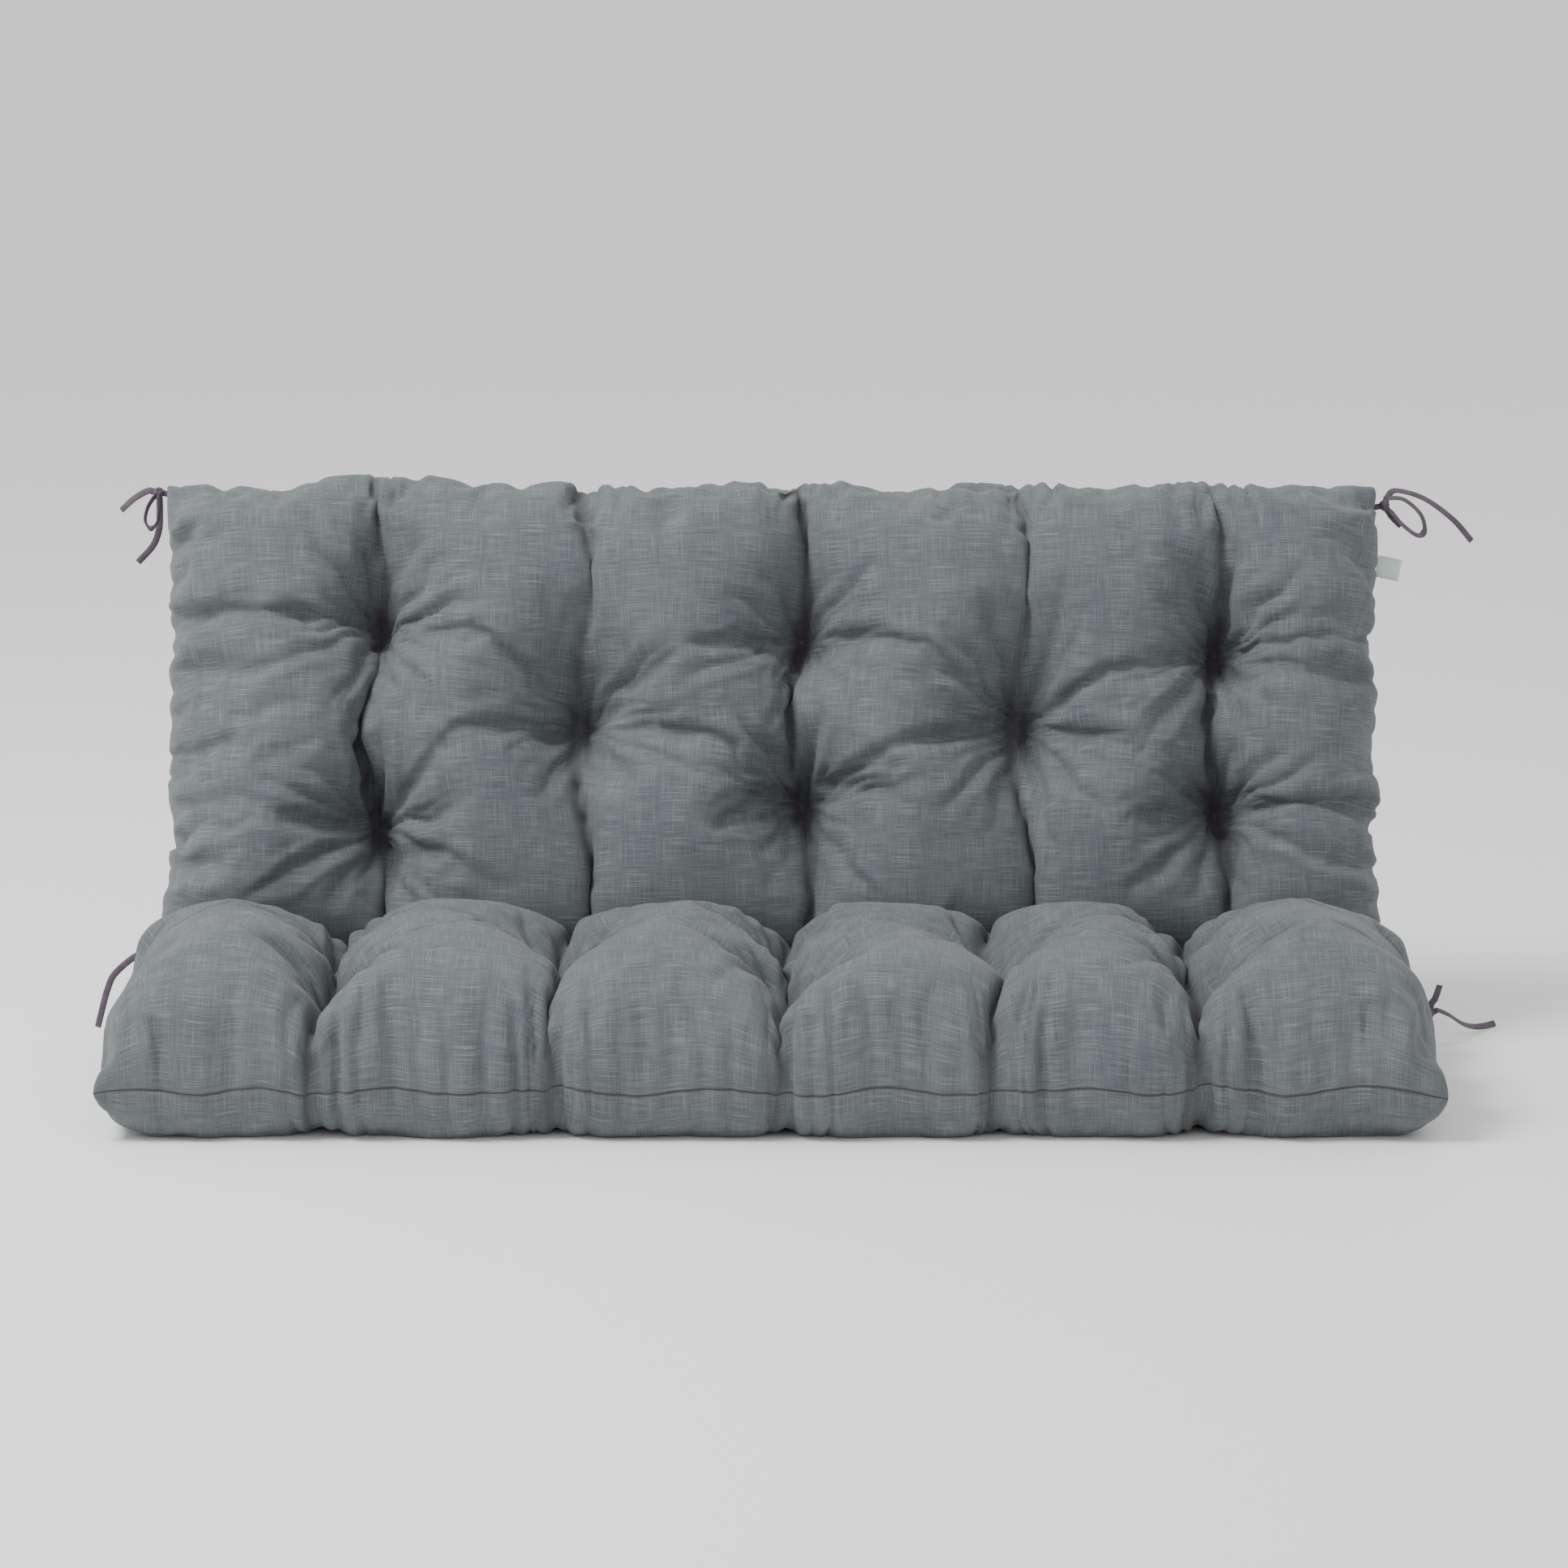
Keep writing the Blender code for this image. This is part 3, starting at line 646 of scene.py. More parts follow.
print("soft creases", len(crease_links(SEAT)), "on the seat,", len(crease_links(BACK)), "behind")

# %% [markdown]
# ## The two faces of a pad
# The stuffed face is the sum of all of these: columns, grooves, creases and pits, rounded off
# towards the seam. The other face lies on the bench or its back, so it is flat and its tufts
# pull in less. Both end in the same seam.

# %% The stuffed face
SWELL, SWELL_SIZE = 0.05, 0.35            # uneven stuffing: its share, and its wave length
CREASE_REACH, FAINT = 0.018, 0.2          # a soft crease's half width, and the faint ones
PIT_WIDE, PIT_LONG, PIT_SHARP = 0.022, 0.045, 1.2     # half the size of the dent round a tuft
END_GROOVE, END_GROOVE_REACH = 0.45, 0.07    # grooves are deeper again close to the free edge
SIDE_ROUND, END_ROUND, SQUARE = 0.11, 0.12, 2.2      # how the face curves down to the seam
GATHER, GATHER_SIZE, GATHER_REACH = 0.10, 0.06, 0.06     # small gathers along the side seams
SLOPE_START = 0.002       # metres that the slope at the fold starts behind the rim
BLEND = 8                 # how sharply that slope cuts in


def stuffed_height(x, t, pad):
    """How high the stuffed face stands above the seam at each point."""
    rng = np.random.default_rng(pad["seed"])
    half, length = pad["half"], pad["length"]
    near, far = t - FOLD_GAP, length - t
    sway = wander(t, pad)
    strength = groove_strength(x + sway, t, pad)
    bulge = 1.0 - (1.0 - column_bulge(x + sway, pad)) * strength
    height = pad["groove"] + (pad["crown"] - pad["groove"]) * bulge
    height = height * (1.0 + SWELL * waves(x, t, rng, SWELL_SIZE))
    for link in crease_links(pad):
        distance, inner = link_distance(x, t, link)
        ends = 1.0 - 0.7 * inner
        strong = link[0][1] + link[2][1] < 2 * pad["linked"] * length
        weight = rng.uniform(0.5, 1.0) if strong else FAINT
        height = height - pad["crease"] * weight * ends * np.exp(-distance / CREASE_REACH)
    for tx, tt in pad["tufts"]:
        distance = np.hypot((x - tx) / PIT_WIDE, (t - tt) / PIT_LONG)
        height = height - (height - pad["pit"]) * np.exp(-distance ** PIT_SHARP)
    height = height * (1.0 - END_GROOVE * (1.0 - bulge) * np.exp(-far / END_GROOVE_REACH))
    side = half - np.abs(x)
    gather = GATHER * waves(0 * t, t, rng, GATHER_SIZE) * np.exp(-side / GATHER_REACH)
    height = height * round_rise(side, SIDE_ROUND, SQUARE) * round_rise(far, END_ROUND, SQUARE)
    height = np.maximum(height * (1.0 + gather), 1e-5)
    limit = pad["slope"] * (near + SLOPE_START)
    return (height ** -BLEND + limit ** -BLEND) ** (-1 / BLEND)


# %% The flat face
FLAT_SIDE_ROUND, FLAT_END_ROUND = 0.065, 0.06        # how it curves up to the seam
FLAT_PIT, FLAT_PIT_WIDE, FLAT_PIT_LONG = 0.022, 0.030, 0.040     # its shallow pits
FLAT_PIT_SHARP = 1.3
FLAT_GROOVE, FLAT_NOTCH, FLAT_NOTCH_REACH = 0.20, 0.35, 0.06     # its grooves, and at the edge


def flat_depth(x, t, pad):
    """How far the flat face lies behind the seam at each point, as a negative height."""
    near, far = t - FOLD_GAP, pad["length"] - t
    side, edge = pad["half"] - np.abs(x), np.minimum(near, far)
    depth = pad["flat"] * round_rise(side, FLAT_SIDE_ROUND) * round_rise(edge, FLAT_END_ROUND)
    line = (1.0 - column_bulge(x, pad)) ** 2
    groove = FLAT_GROOVE + FLAT_NOTCH * np.exp(-far / FLAT_NOTCH_REACH)
    depth = depth * (1.0 - groove * line)
    for tx, tt in pad["tufts"]:
        distance = np.hypot((x - tx) / FLAT_PIT_WIDE, (t - tt) / FLAT_PIT_LONG)
        depth = depth - FLAT_PIT * np.exp(-distance ** FLAT_PIT_SHARP)
    return -depth


# %% The seam's outline
EDGE_REACH = 0.035        # metres in from the seam that move with it
NOTCH_WIDE, SIDE_NOTCH_WIDE = 0.012, 0.016       # notches of the free edge and of the sides
PUCKERS, PUCKER, PUCKER_WIDE = 9, 0.6, 0.008     # extra small notches along the free edge
RIPPLES = ((0.0025, 0.12), (0.0012, 0.035))      # the seam's ripples: how far, and how long
LIFT, LIFT_SIZE = 0.004, 0.16             # the seam also rises and falls
FLARE_WIDE, FLARE_LONG = 0.05, 0.055      # where the corners at the fold spread out
DRAWN_IN, SIDE_IN = 0.002, 0.003          # how far the whole free edge and the sides come in
SIDE_NOTCH = 0.006        # how far the outer tufts draw in the side seams
HELD_REACH = 0.035        # the held places keep this much of the seam still


def outline(x, t, pad):
    """How far the seam and the cloth next to it are drawn out of the plain rectangle."""
    half, length = pad["half"], pad["length"]
    side, far = half - np.abs(x), length - t
    rng = np.random.default_rng(pad["seed"] + 100)
    pull = sum((0.3 + at) * np.exp(-np.abs(x - line) / NOTCH_WIDE)
               for line, at in zip(pad["lines"], pad["notch"]))
    pull = pull + sum(PUCKER * np.exp(-np.abs(x - rng.uniform(-half, half)) / PUCKER_WIDE)
                      for _ in range(PUCKERS))
    ripple = sum(far_out * waves(x, t, rng, size) for far_out, size in RIPPLES)
    dt = -np.exp(-far / EDGE_REACH) * (pad["notch_depth"] * pull + DRAWN_IN + ripple)
    notch = sum(np.exp(-np.abs(t - tt) / SIDE_NOTCH_WIDE)
                for tx, tt in pad["tufts"] if abs(tx) > half * 0.5)
    dx = -np.sign(x) * np.exp(-side / EDGE_REACH) * (SIDE_NOTCH * notch + SIDE_IN + ripple)
    flare = np.sign(x) * pad["flare"] * np.exp(-side / FLARE_WIDE)
    dx = dx + flare * np.exp(-(t / FLARE_LONG) ** 1.5)
    for px, pt in pad["held"]:
        free = 1.0 - np.exp(-(np.hypot(x - px, t - pt) / HELD_REACH) ** 4)
        dx, dt = dx * free, dt * free
    dn = LIFT * np.exp(-np.minimum(side, far) / EDGE_REACH) * waves(x, t, rng, LIFT_SIZE)
    return dx, dt, dn


# %% [markdown]
# ## Cloth panels
# Each face starts as an open grid, like the cut panel of cloth. The panel carries what the
# cover's material needs: a map of the cut cloth in metres, and how deep each place lies in a
# pit or groove and how far it is from the seam, which set where shade is painted.

# %% Cloth panels
CELL = 0.0072             # metres between two rows of the grid
RIM = 0.4999              # beyond this place on the unit grid lies the rim
SLIT_WIDE, SLIT_LONG = 0.006, 0.030       # half the size of the shade in a pit


def points_of(mesh, what="co"):
    """A mesh's points, or its normals, one to a row."""
    values = np.zeros(len(mesh.vertices) * 3)
    mesh.vertices.foreach_get(what, values)
    return values.reshape(-1, 3)


def arc_length(grid, axis):
    """How far each point of a grid lies from its first row or column, along the cloth."""
    runs = np.linalg.norm(np.diff(grid, axis=axis), axis=2)
    start = np.zeros_like(runs.take([0], axis=axis))
    return np.concatenate([start, np.cumsum(runs, axis=axis)], axis=axis)


def shade_depth(x, t, pad):
    """1 at the bottom of a pit, 0.7 at the bottom of a groove, and 0 out in the light."""
    slit = sum(np.exp(-(np.hypot((x - tx) / SLIT_WIDE, (t - tt) / SLIT_LONG)) ** 2)
               for tx, tt in pad["tufts"])
    sway = wander(t, pad)
    off = np.abs((x + sway)[:, None] - np.array(pad["lines"])).min(1)
    groove = 0.7 * np.exp(-(off / SLIT_WIDE) ** 2) * groove_strength(x + sway, t, pad)
    return np.clip(slit + groove, 0.0, 1.0)


def panel_mesh(pad, form, name):
    """An open grid over the pad, raised by its form, with the map of its cut cloth."""
    cells_x = round(2 * pad["half"] / CELL)
    cells_t = round((pad["length"] - FOLD_GAP) / CELL)
    bm = bmesh.new()
    bmesh.ops.create_grid(bm, x_segments=cells_x, y_segments=cells_t, size=0.5)
    mesh = bpy.data.meshes.new(name)
    bm.to_mesh(mesh)
    bm.free()
    plain = points_of(mesh)
    x = plain[:, 0] * 2 * pad["half"]
    t = FOLD_GAP + (plain[:, 1] + 0.5) * (pad["length"] - FOLD_GAP)
    edge = (np.abs(plain[:, 0]) > RIM) | (np.abs(plain[:, 1]) > RIM)
    n = np.where(edge, 0.0, form(x, t, pad))
    dx, dt, dn = outline(x, t, pad)
    points = np.stack([x + dx, t + dt, n + dn], 1)
    mesh.vertices.foreach_set("co", points.ravel())
    grid = points.reshape(-1, cells_x + 1, 3)
    cloth_x = np.tile(arc_length(grid, 1).mean(0), len(grid))
    cloth_t = np.repeat(arc_length(grid, 0).mean(1), cells_x + 1)
    hem = np.minimum(np.minimum(cloth_x, cloth_x.max() - cloth_x), cloth_t.max() - cloth_t)
    for label, values in (("deep", shade_depth(x, t, pad)), ("hem", hem)):
        layer = mesh.attributes.new(label, "FLOAT", "POINT")
        layer.data.foreach_set("value", values.astype(np.float32))
    cut = mesh.uv_layers.new(name="cloth")
    corners = np.zeros(len(mesh.loops), int)
    mesh.loops.foreach_get("vertex_index", corners)
    cut.data.foreach_set("uv", np.stack([cloth_x, cloth_t], 1)[corners].ravel())
    return mesh, x, t, edge


# %% [markdown]
# ## Puffing up
# Now the panel is simulated as cloth. It is cut larger than its stuffing, so it has to find
# somewhere to go, and a light pressure from inside lifts it into small folds. The rim is held
# where it is sewn, and so are short slits at the tufts. No point may end up further than a
# few centimetres from where it started, which tames the few that would balloon.

# %% Cloth simulation
CLOTH = {
    "quality": 6, "mass": 0.3, "tension_stiffness": 25, "compression_stiffness": 25,
    "shear_stiffness": 12, "bending_stiffness": 0.6, "tension_damping": 12,
    "compression_damping": 12, "shear_damping": 12, "bending_damping": 0.5,
    "air_damping": 3.0, "vertex_group_mass": "sewn", "pin_stiffness": 5.0, "use_pressure": True,
}
FARTHEST = 0.045          # metres that a point may move
# For each kind of face: the pressure inside, the frames to settle in, and half the length of
# the slits that its tufts hold. The flat face rests on the bench, so it is hardly puffed up.
PUFFED = {"pressure": 6.0, "frames": 30, "slit": 0.020}
RESTING = {"pressure": 1.0, "frames": 14, "slit": 0.006}
RESTING_SLACK = 0.02


def simulate(obj, pins, slack, pressure, frames):
    """Puff a panel up with Blender's cloth: the cloth is cut larger than its stuffing."""
    group = obj.vertex_groups.new(name="sewn")
    for index in np.flatnonzero(pins):
        group.add([int(index)], 1.0, "REPLACE")
    before = points_of(obj.data)
    cloth = obj.modifiers.new("cloth", "CLOTH")
    for name, value in CLOTH.items():
        setattr(cloth.settings, name, value)
    cloth.settings.shrink_min = -slack
    cloth.settings.uniform_pressure_force = pressure
    cloth.settings.effector_weights.gravity = 0.0
    cloth.collision_settings.use_collision = False
    cloth.collision_settings.use_self_collision = False
    cloth.point_cache.frame_start = 1
    cloth.point_cache.frame_end = frames
    for number in range(1, frames + 1):
        bpy.context.scene.frame_set(number)
    done = obj.evaluated_get(bpy.context.evaluated_depsgraph_get())
    move = points_of(done.data) - before
    obj.modifiers.remove(cloth)
    bpy.context.scene.frame_set(1)
    size = np.linalg.norm(move, axis=1, keepdims=True)
    print(obj.name, "moved", np.percentile(size, [50, 90, 99, 100]).round(4))
    move *= np.minimum(1.0, FARTHEST / np.maximum(size, 1e-9))
    obj.data.vertices.foreach_set("co", (before + move).ravel())


def panel(pad, form, name, up):
    mesh, x, t, pins = panel_mesh(pad, form, name)
    obj = bpy.data.objects.new(name, mesh)
    bpy.context.scene.collection.objects.link(obj)
    if not up:
        mesh.flip_normals()
    kind = PUFFED if up else RESTING
    for tx, tt in pad["tufts"]:
        nearest = np.abs(x - tx).min() + 1e-6
        pins |= (np.abs(x - tx) <= nearest) & (np.abs(t - tt) < kind["slit"])
    slack = pad["slack"] if up else RESTING_SLACK
    simulate(obj, pins, slack, kind["pressure"], kind["frames"])
    return obj


# %% [markdown]
# ## Sharp creases
# A tuft draws the cloth in from all round, so short sharp creases fan out of each pit, and
# gathers run in from the seams. They are finer than the simulated grid, so they are pressed
# into the smoothed mesh instead: a valley with a low ridge on each side. Where two creases
# meet, the deeper one counts, or the meeting points would become holes.

# %% Where the sharp creases run
RAYS, RAY_REACH, RAY_DEPTH = 14, (0.07, 0.18), (0.007, 0.015)    # the fan of each tuft
VALLEY, SIDE_VALLEY = 0.0050, 0.0052      # half widths
LINK_DEPTH = 0.0110       # the sharp bottom of the soft creases
SIDE_REACH, SIDE_DEPTH, SIDE_SPACE = (0.03, 0.09), (0.003, 0.009), (0.025, 0.080)
END_REACH, END_DEPTH, END_SPACE = (0.02, 0.04), (0.002, 0.006), (0.03, 0.07)
LINE_SPACE = (0.012, 0.03)                # gathers crowd where a line meets the free edge,
LINE_NEAR, LINE_LONGER, LINE_DEEPER = 0.05, 0.04, 0.006       # and are longer and deeper there
SIDE_START, END_START = 0.03, 0.02        # the gathers keep this far from the corners
LEANING = 0.015           # metres that the tip of a gather may lean


def crease_routes(pad):
    """Sharp creases as (start, end, depth, width): fans out of tufts, links, and seam gathers."""
    rng = np.random.default_rng(pad["seed"] + 200)
    half, length = pad["half"], pad["length"]
    routes = []
    for tx, tt in pad["tufts"]:
        for ray in range(RAYS):
            turn = 2 * math.pi * (ray + rng.uniform(-0.4, 0.4)) / RAYS
            reach = rng.uniform(*RAY_REACH)
            tip = (tx + reach * math.cos(turn), tt + reach * math.sin(turn))
            routes.append(((tx, tt), tip, rng.uniform(*RAY_DEPTH), VALLEY))
    for start, middle, end in crease_links(pad):
        depth = LINK_DEPTH * rng.uniform(0.4, 1.0)
        routes.append((start, middle, depth, VALLEY))
        routes.append((end, middle, depth, VALLEY))
    for side in (-1, 1):
        at = SIDE_START
        while at < length - SIDE_START:
            reach = rng.uniform(*SIDE_REACH)
            tip = (side * (half - reach), at + rng.uniform(-LEANING, LEANING))
            routes.append(((side * half, at), tip, rng.uniform(*SIDE_DEPTH), SIDE_VALLEY))
            at += rng.uniform(*SIDE_SPACE)
    at = -half + END_START
    while at < half - END_START:
        near_line = min(abs(at - line) for line in pad["lines"]) < LINE_NEAR
        reach = rng.uniform(*END_REACH) + LINE_LONGER * near_line
        tip = (at + rng.uniform(-LEANING, LEANING), length - reach)
        depth = rng.uniform(*END_DEPTH) + LINE_DEEPER * near_line
        routes.append(((at, length), tip, depth, VALLEY))
        at += rng.uniform(*(LINE_SPACE if near_line else END_SPACE))
    return routes


print("sharp creases", len(crease_routes(SEAT)), "on the seat,", len(crease_routes(BACK)), "behind")

# %% Press them in
RIDGE, RIDGE_PLACE, RIDGE_WIDE = 0.35, 2.8, 1.1      # as shares of the valley beside it
CROOKED, CROOKED_SIZE = 0.004, 0.07       # how far the creases stray from straight lines
NARROW, WIDENS, WIDEST = 0.35, 4.0, 1.3   # a valley starts narrow and widens along its way
FADE_REACH = 0.03         # the creases fade over this much cloth towards a pit or a seam,
PIT_SHARE, SEAM_SHARE = 0.45, 0.35        # and this share of their depth is left there


def press_creases(mesh, pad):
    """Press the sharp creases into the smoothed cloth, along its normals."""
    points = points_of(mesh)
    back = np.array(pad["place"].inverted())
    x, t, n = back[:3, :3] @ points.T + back[:3, 3:]
    rng = np.random.default_rng(pad["seed"] + 300)
    x = x + CROOKED * waves(x, t, rng, CROOKED_SIZE)
    t = t + CROOKED * waves(x, t, rng, CROOKED_SIZE)
    valleys, ridges = np.zeros(len(points)), np.zeros(len(points))
    for start, end, depth, width in crease_routes(pad):
        distance, share = segment_distance(x, t, start, end)
        distance = distance / (width * np.clip(NARROW + WIDENS * share, 0.0, WIDEST))
        deep = depth * (1 - share) ** 0.6
        valleys = np.maximum(valleys, deep * np.exp(-distance))
        ridge = np.exp(-((distance - RIDGE_PLACE) / RIDGE_WIDE) ** 2)
        ridges = np.maximum(ridges, deep * RIDGE * ridge)
    press = valleys - ridges * np.clip((n + 0.004) / 0.012, 0.0, 1.0)
    press *= np.clip((t - 0.01) / 0.02, 0.0, 1.0)
    pit = np.min([np.hypot(x - tx, t - tt) for tx, tt in pad["tufts"]], axis=0)
    press *= np.clip(PIT_SHARE + pit / FADE_REACH, 0.0, 1.0)
    edge = np.minimum(pad["half"] - np.abs(x), pad["length"] - t)
    press *= np.clip(SEAM_SHARE + edge / FADE_REACH, 0.0, 1.0)
    mesh.vertices.foreach_set("co", (points - points_of(mesh, "normal") * press[:, None]).ravel())


# %% [markdown]
# ## Sewing the panels together
# The two panels of a pad share their rim, so merging the doubled points sews them. Subdivision
# then smooths the cloth, the creases are pressed in, and nothing may sink below the floor.

# %% Sew and finish the pads
SEWN = 0.0002             # points closer than this are sewn together


def join_panels(top, bottom, pad, name, flip):
    """One closed pad from its two panels, smoothed and creased."""
    bm = bmesh.new()
    bm.from_mesh(top.data)
    bm.from_mesh(bottom.data)
    bmesh.ops.remove_doubles(bm, verts=bm.verts, dist=SEWN)
    bmesh.ops.transform(bm, matrix=pad["place"], verts=bm.verts)
    if flip:
        bmesh.ops.reverse_faces(bm, faces=bm.faces)
    mesh = bpy.data.meshes.new(name)
    bm.to_mesh(mesh)
    bm.free()
    rough = bpy.data.objects.new(name, mesh)
    bpy.context.scene.collection.objects.link(rough)
    smooth = rough.modifiers.new("smooth", "SUBSURF")
    smooth.levels = smooth.render_levels = 1
    graph = bpy.context.evaluated_depsgraph_get()
    fine = bpy.data.meshes.new_from_object(rough.evaluated_get(graph), depsgraph=graph)
    press_creases(fine, pad)
    points = points_of(fine)
    points[:, 2] = np.maximum(points[:, 2], 0.0)
    fine.vertices.foreach_set("co", points.ravel())
    fine.shade_smooth()
    for old in (top, bottom, rough):
        bpy.data.objects.remove(old)
    obj = bpy.data.objects.new(name, fine)
    bpy.context.scene.collection.objects.link(obj)
    print(name, "faces", len(fine.polygons))
    return obj


seat_pad = join_panels(panel(SEAT, stuffed_height, "seat_face", True),
                       panel(SEAT, flat_depth, "seat_under", False), SEAT, "seat_pad", True)
back_pad = join_panels(panel(BACK, stuffed_height, "back_face", True),
                       panel(BACK, flat_depth, "back_rear", False), BACK, "back_pad", False)

for obj, body, fill, nodes in (
        (seat_pad, "seat", 0.75, ("seat_top_cover", "seat_bottom_cover", "seat_filling")),
        (back_pad, "backrest", 0.7, ("back_front_cover", "back_rear_cover", "back_filling"))):
    obj.data.materials.append(cloth_finish)
    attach(obj, body)
    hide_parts(*nodes)
    print(obj.name, "rides on", body, "and stands for", nodes)

# %% [markdown]
# ## Tuft stitches
# Strong thread passes straight through each pad and is knotted on the far side. It pulls the
# cloth into the pits, and only a short double stitch shows at the bottom of each one. A ray
# sent down on each pit finds its bottom, so the stitches lie on the cloth as it came out.

# %% Tuft stitches
STITCH_LENGTH = 0.013
STITCH_RISE, STITCH_SINK = 0.0014, 0.0008        # its middle stands out, and its ends dip in
STITCH_APART, STITCH_LEAN = 0.0011, 0.0015       # half the space between the two threads
THREAD_THICK = 0.0012
THREAD_INSIDE = 0.001     # the hidden thread ends this far under the cloth
FROM_OUTSIDE = 0.3        # the rays start this far from the seam's plane


def add_thread(bm, points, step=PATH_STEP):
    """A thread is a ribbon as thick as it is wide."""
    path = smooth_path(points, step)
    add_ribbon(bm, path, turned_across(path, (0, 0, 1), 0.0), THREAD_THICK, THREAD_THICK)


def tuft_stitch(pad, number, surface, body):
    """A stitch on each face of the pad and the hidden run of thread between the two."""
    place = pad["place"]
    tx, tt = pad["tufts"][number - 1]
    bm = bmesh.new()
    ends = []
    for way in (1, -1):
        start = place @ Vector((tx, tt, FROM_OUTSIDE * way))
        hit, normal, face, distance = surface.ray_cast(start, place.to_3x3() @ Vector((0, 0, -way)))
        depth = (place.inverted() @ hit).z
        ends.append(depth - THREAD_INSIDE * way)
        for side in (-1, 1):
            points = []
            for share in (-1.0, -0.7, 0.0, 0.7, 1.0):
                rise = STITCH_RISE * (1 - share ** 2) - STITCH_SINK
                points.append(place @ Vector((
                    tx + side * STITCH_APART + share * side * STITCH_LEAN,
                    tt + share * STITCH_LENGTH / 2, depth + way * rise)))
            add_thread(bm, points)
    add_thread(bm, [place @ Vector((tx, tt, depth)) for depth in ends], 0.01)
    node = f"{pad['name']}_tuft_thread_{number}"
    stitch = new_object(f"{node}_stitch", bm, thread_finish, body)
    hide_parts(node)
    return ends


bpy.context.view_layer.update()
for pad, obj, body in ((SEAT, seat_pad, "seat"), (BACK, back_pad, "backrest")):
    surface = BVHTree.FromObject(obj, bpy.context.evaluated_depsgraph_get())
    threads = [tuft_stitch(pad, number, surface, body) for number in TUFTS]
    print(pad["name"], "thread lengths", [round(top - under, 3) for top, under in threads])

# %% [markdown]
# ## The fold
# The two pads share one sewn fold: a narrow roll of cloth along the axis that the backrest
# turns on. It is round about that axis, so it fits the pads at every angle. A flat grid is
# wrapped into a tube, so its map of the cut cloth is made while it is still flat.

# %% Fold roll
FOLD_RADIUS = 0.0058
FOLD_STEPS, FOLD_SIDES = 240, 16
FOLD_SWELL, SWELL_PITCH = 0.10, 0.05      # the roll is uneven by a tenth, every few centimetres
FOLD_END, FOLD_TAPER = 0.4, 0.004         # its size at the very end, and the taper's length

low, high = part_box("fold_seam")
xs = np.linspace(low.x, high.x, FOLD_STEPS + 1)
swell = 1.0 + FOLD_SWELL * waves(xs, 0 * xs, np.random.default_rng(8), SWELL_PITCH)
taper = FOLD_END + np.minimum(xs - low.x, high.x - xs) / FOLD_TAPER * (1.0 - FOLD_END)
reach = FOLD_RADIUS * swell * np.minimum(1.0, taper)

bm = bmesh.new()
bmesh.ops.create_grid(bm, x_segments=FOLD_STEPS, y_segments=FOLD_SIDES, size=0.5)
layer = bm.loops.layers.uv.new("cloth")
hem_layer = bm.verts.layers.float.new("hem")
for vert in bm.verts:
    step = round((vert.co.x + 0.5) * FOLD_STEPS)
    turn = 2 * math.pi * (vert.co.y + 0.5)
    for loop in vert.link_loops:
        loop[layer].uv = (xs[step], turn * FOLD_RADIUS)
    around = Vector((0, math.cos(turn), math.sin(turn))) * reach[step]
    vert.co = FOLD + Vector((xs[step], 0, 0)) + around
    vert[hem_layer] = 1.0
bmesh.ops.remove_doubles(bm, verts=bm.verts, dist=1e-6)
bmesh.ops.holes_fill(bm, edges=bm.edges, sides=FOLD_SIDES)
fold_roll = new_object("fold_roll", bm, cloth_finish, "seat")
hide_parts("fold_seam")
print("fold roll", len(fold_roll.data.vertices), "points")

# %% [markdown]
# ## The label
# A plain satin ribbon is folded in half and caught in the backrest's side seam. It is the same
# ribbon as the ties, along a path that runs out, turns round and comes back.

# %% Side label
LABEL_TILT = math.radians(-12)
LABEL_OUT, LABEL_TALL, LABEL_THICK = 0.026, 0.026, 0.0004
LABEL_SEWN = 0.004        # metres of it that are hidden in the seam
LABEL_PATH = [(0.0, 0.0004), (0.014, 0.0009), (LABEL_OUT, 0.0008), (LABEL_OUT + 0.0025, 0.0),
              (LABEL_OUT, -0.0008), (0.014, -0.0009), (0.0, -0.0004)]

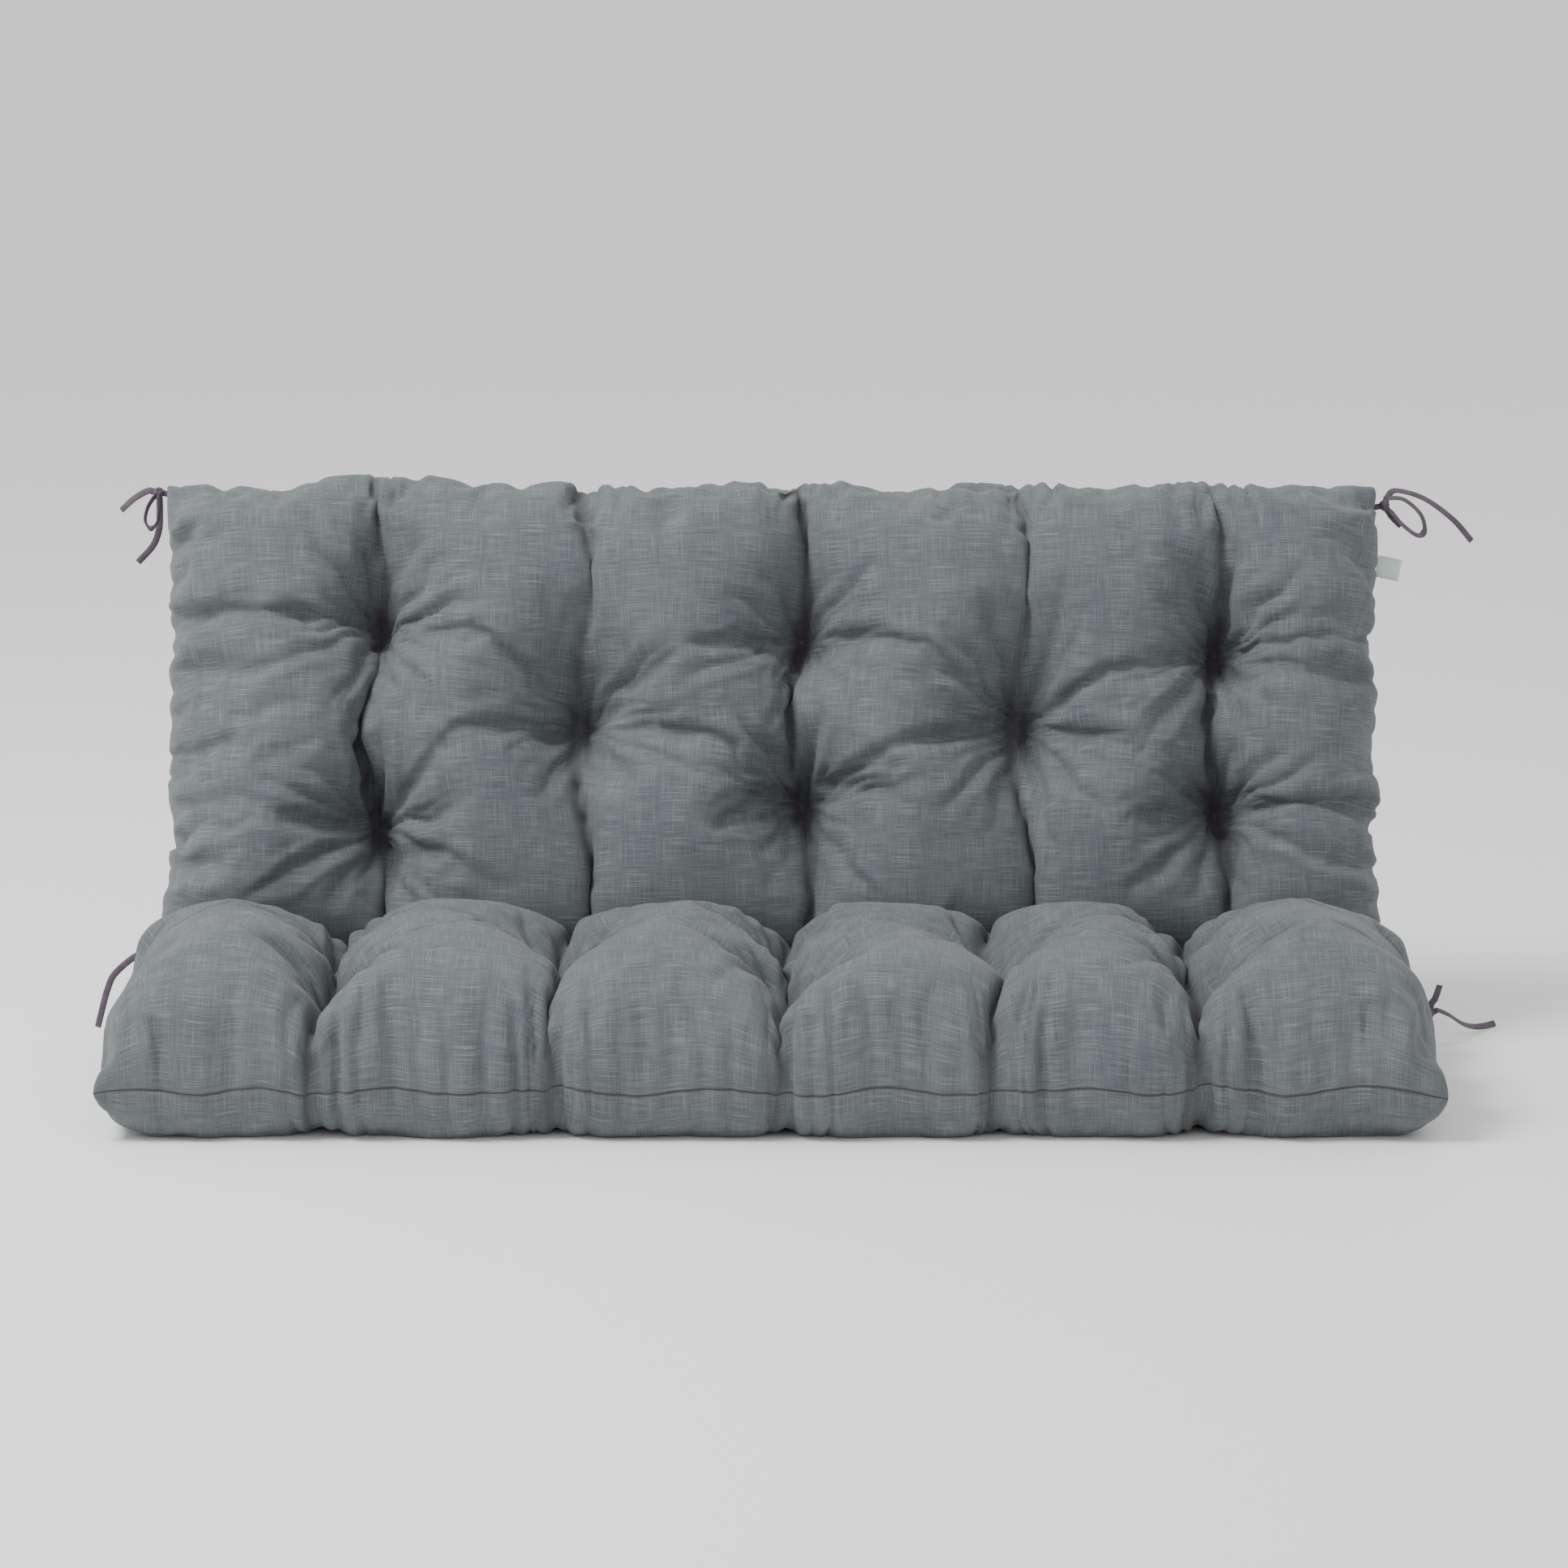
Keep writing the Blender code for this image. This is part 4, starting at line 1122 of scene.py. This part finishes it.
low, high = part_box("side_label")
middle = BACK_PLACE.inverted() @ ((low + high) / 2)
turn = BACK_PLACE.to_3x3() @ Matrix.Rotation(LABEL_TILT, 3, "Z")
root = BACK_PLACE @ (middle - Vector((LABEL_OUT / 2 + LABEL_SEWN, 0, 0)))
path = smooth_path([root + turn @ Vector((out, 0, rise)) for out, rise in LABEL_PATH], 0.0008)
bm = bmesh.new()
add_ribbon(bm, path, [turn @ Vector((0, 1, 0))] * len(path), LABEL_TALL, LABEL_THICK, cup=0.0)
label = new_object("folded_label", bm, label_finish, "backrest")
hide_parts("side_label")
print("label", LABEL_OUT, "m out of the seam and", LABEL_TALL, "m tall")

# %% [markdown]
# ## Floor and light
# The cushion stands on a plain pale floor in a white room, whose even light keeps the grooves
# readable. One large soft lamp from the upper left gives the folds their light side.

# %% Floor and light
ROOM_LIGHT = 1.05
FLOOR_SIZE, FLOOR_TONE = 40.0, (0.9, 0.9, 0.9, 1)
KEY_PLACE, KEY_AIM = (-2.4, -1.2, 4.2), (0, 0, 0.3)
KEY_SIZE, KEY_POWER = 1.8, 260            # metres and watts

world = bpy.data.worlds.new("studio")
world.use_nodes = True
world.node_tree.nodes["Background"].inputs["Color"].default_value = (1, 1, 1, 1)
world.node_tree.nodes["Background"].inputs["Strength"].default_value = ROOM_LIGHT
bpy.context.scene.world = world

bm = bmesh.new()
bmesh.ops.create_grid(bm, x_segments=1, y_segments=1, size=FLOOR_SIZE)
mesh = bpy.data.meshes.new("floor")
bm.to_mesh(mesh)
bm.free()
floor = bpy.data.objects.new("floor", mesh)
bpy.context.scene.collection.objects.link(floor)
white = bpy.data.materials.new("white")
white.use_nodes = True
white.node_tree.nodes["Principled BSDF"].inputs["Base Color"].default_value = FLOOR_TONE
floor.data.materials.append(white)

lamp_data = bpy.data.lights.new("key", "AREA")
lamp_data.size = KEY_SIZE
lamp_data.energy = KEY_POWER
lamp = bpy.data.objects.new("key", lamp_data)
lamp.location = KEY_PLACE
lamp.rotation_euler = (Vector(KEY_AIM) - Vector(KEY_PLACE)).to_track_quat("-Z", "Y").to_euler()
bpy.context.scene.collection.objects.link(lamp)
print("floor", 2 * FLOOR_SIZE, "m wide, key light", KEY_POWER, "W")
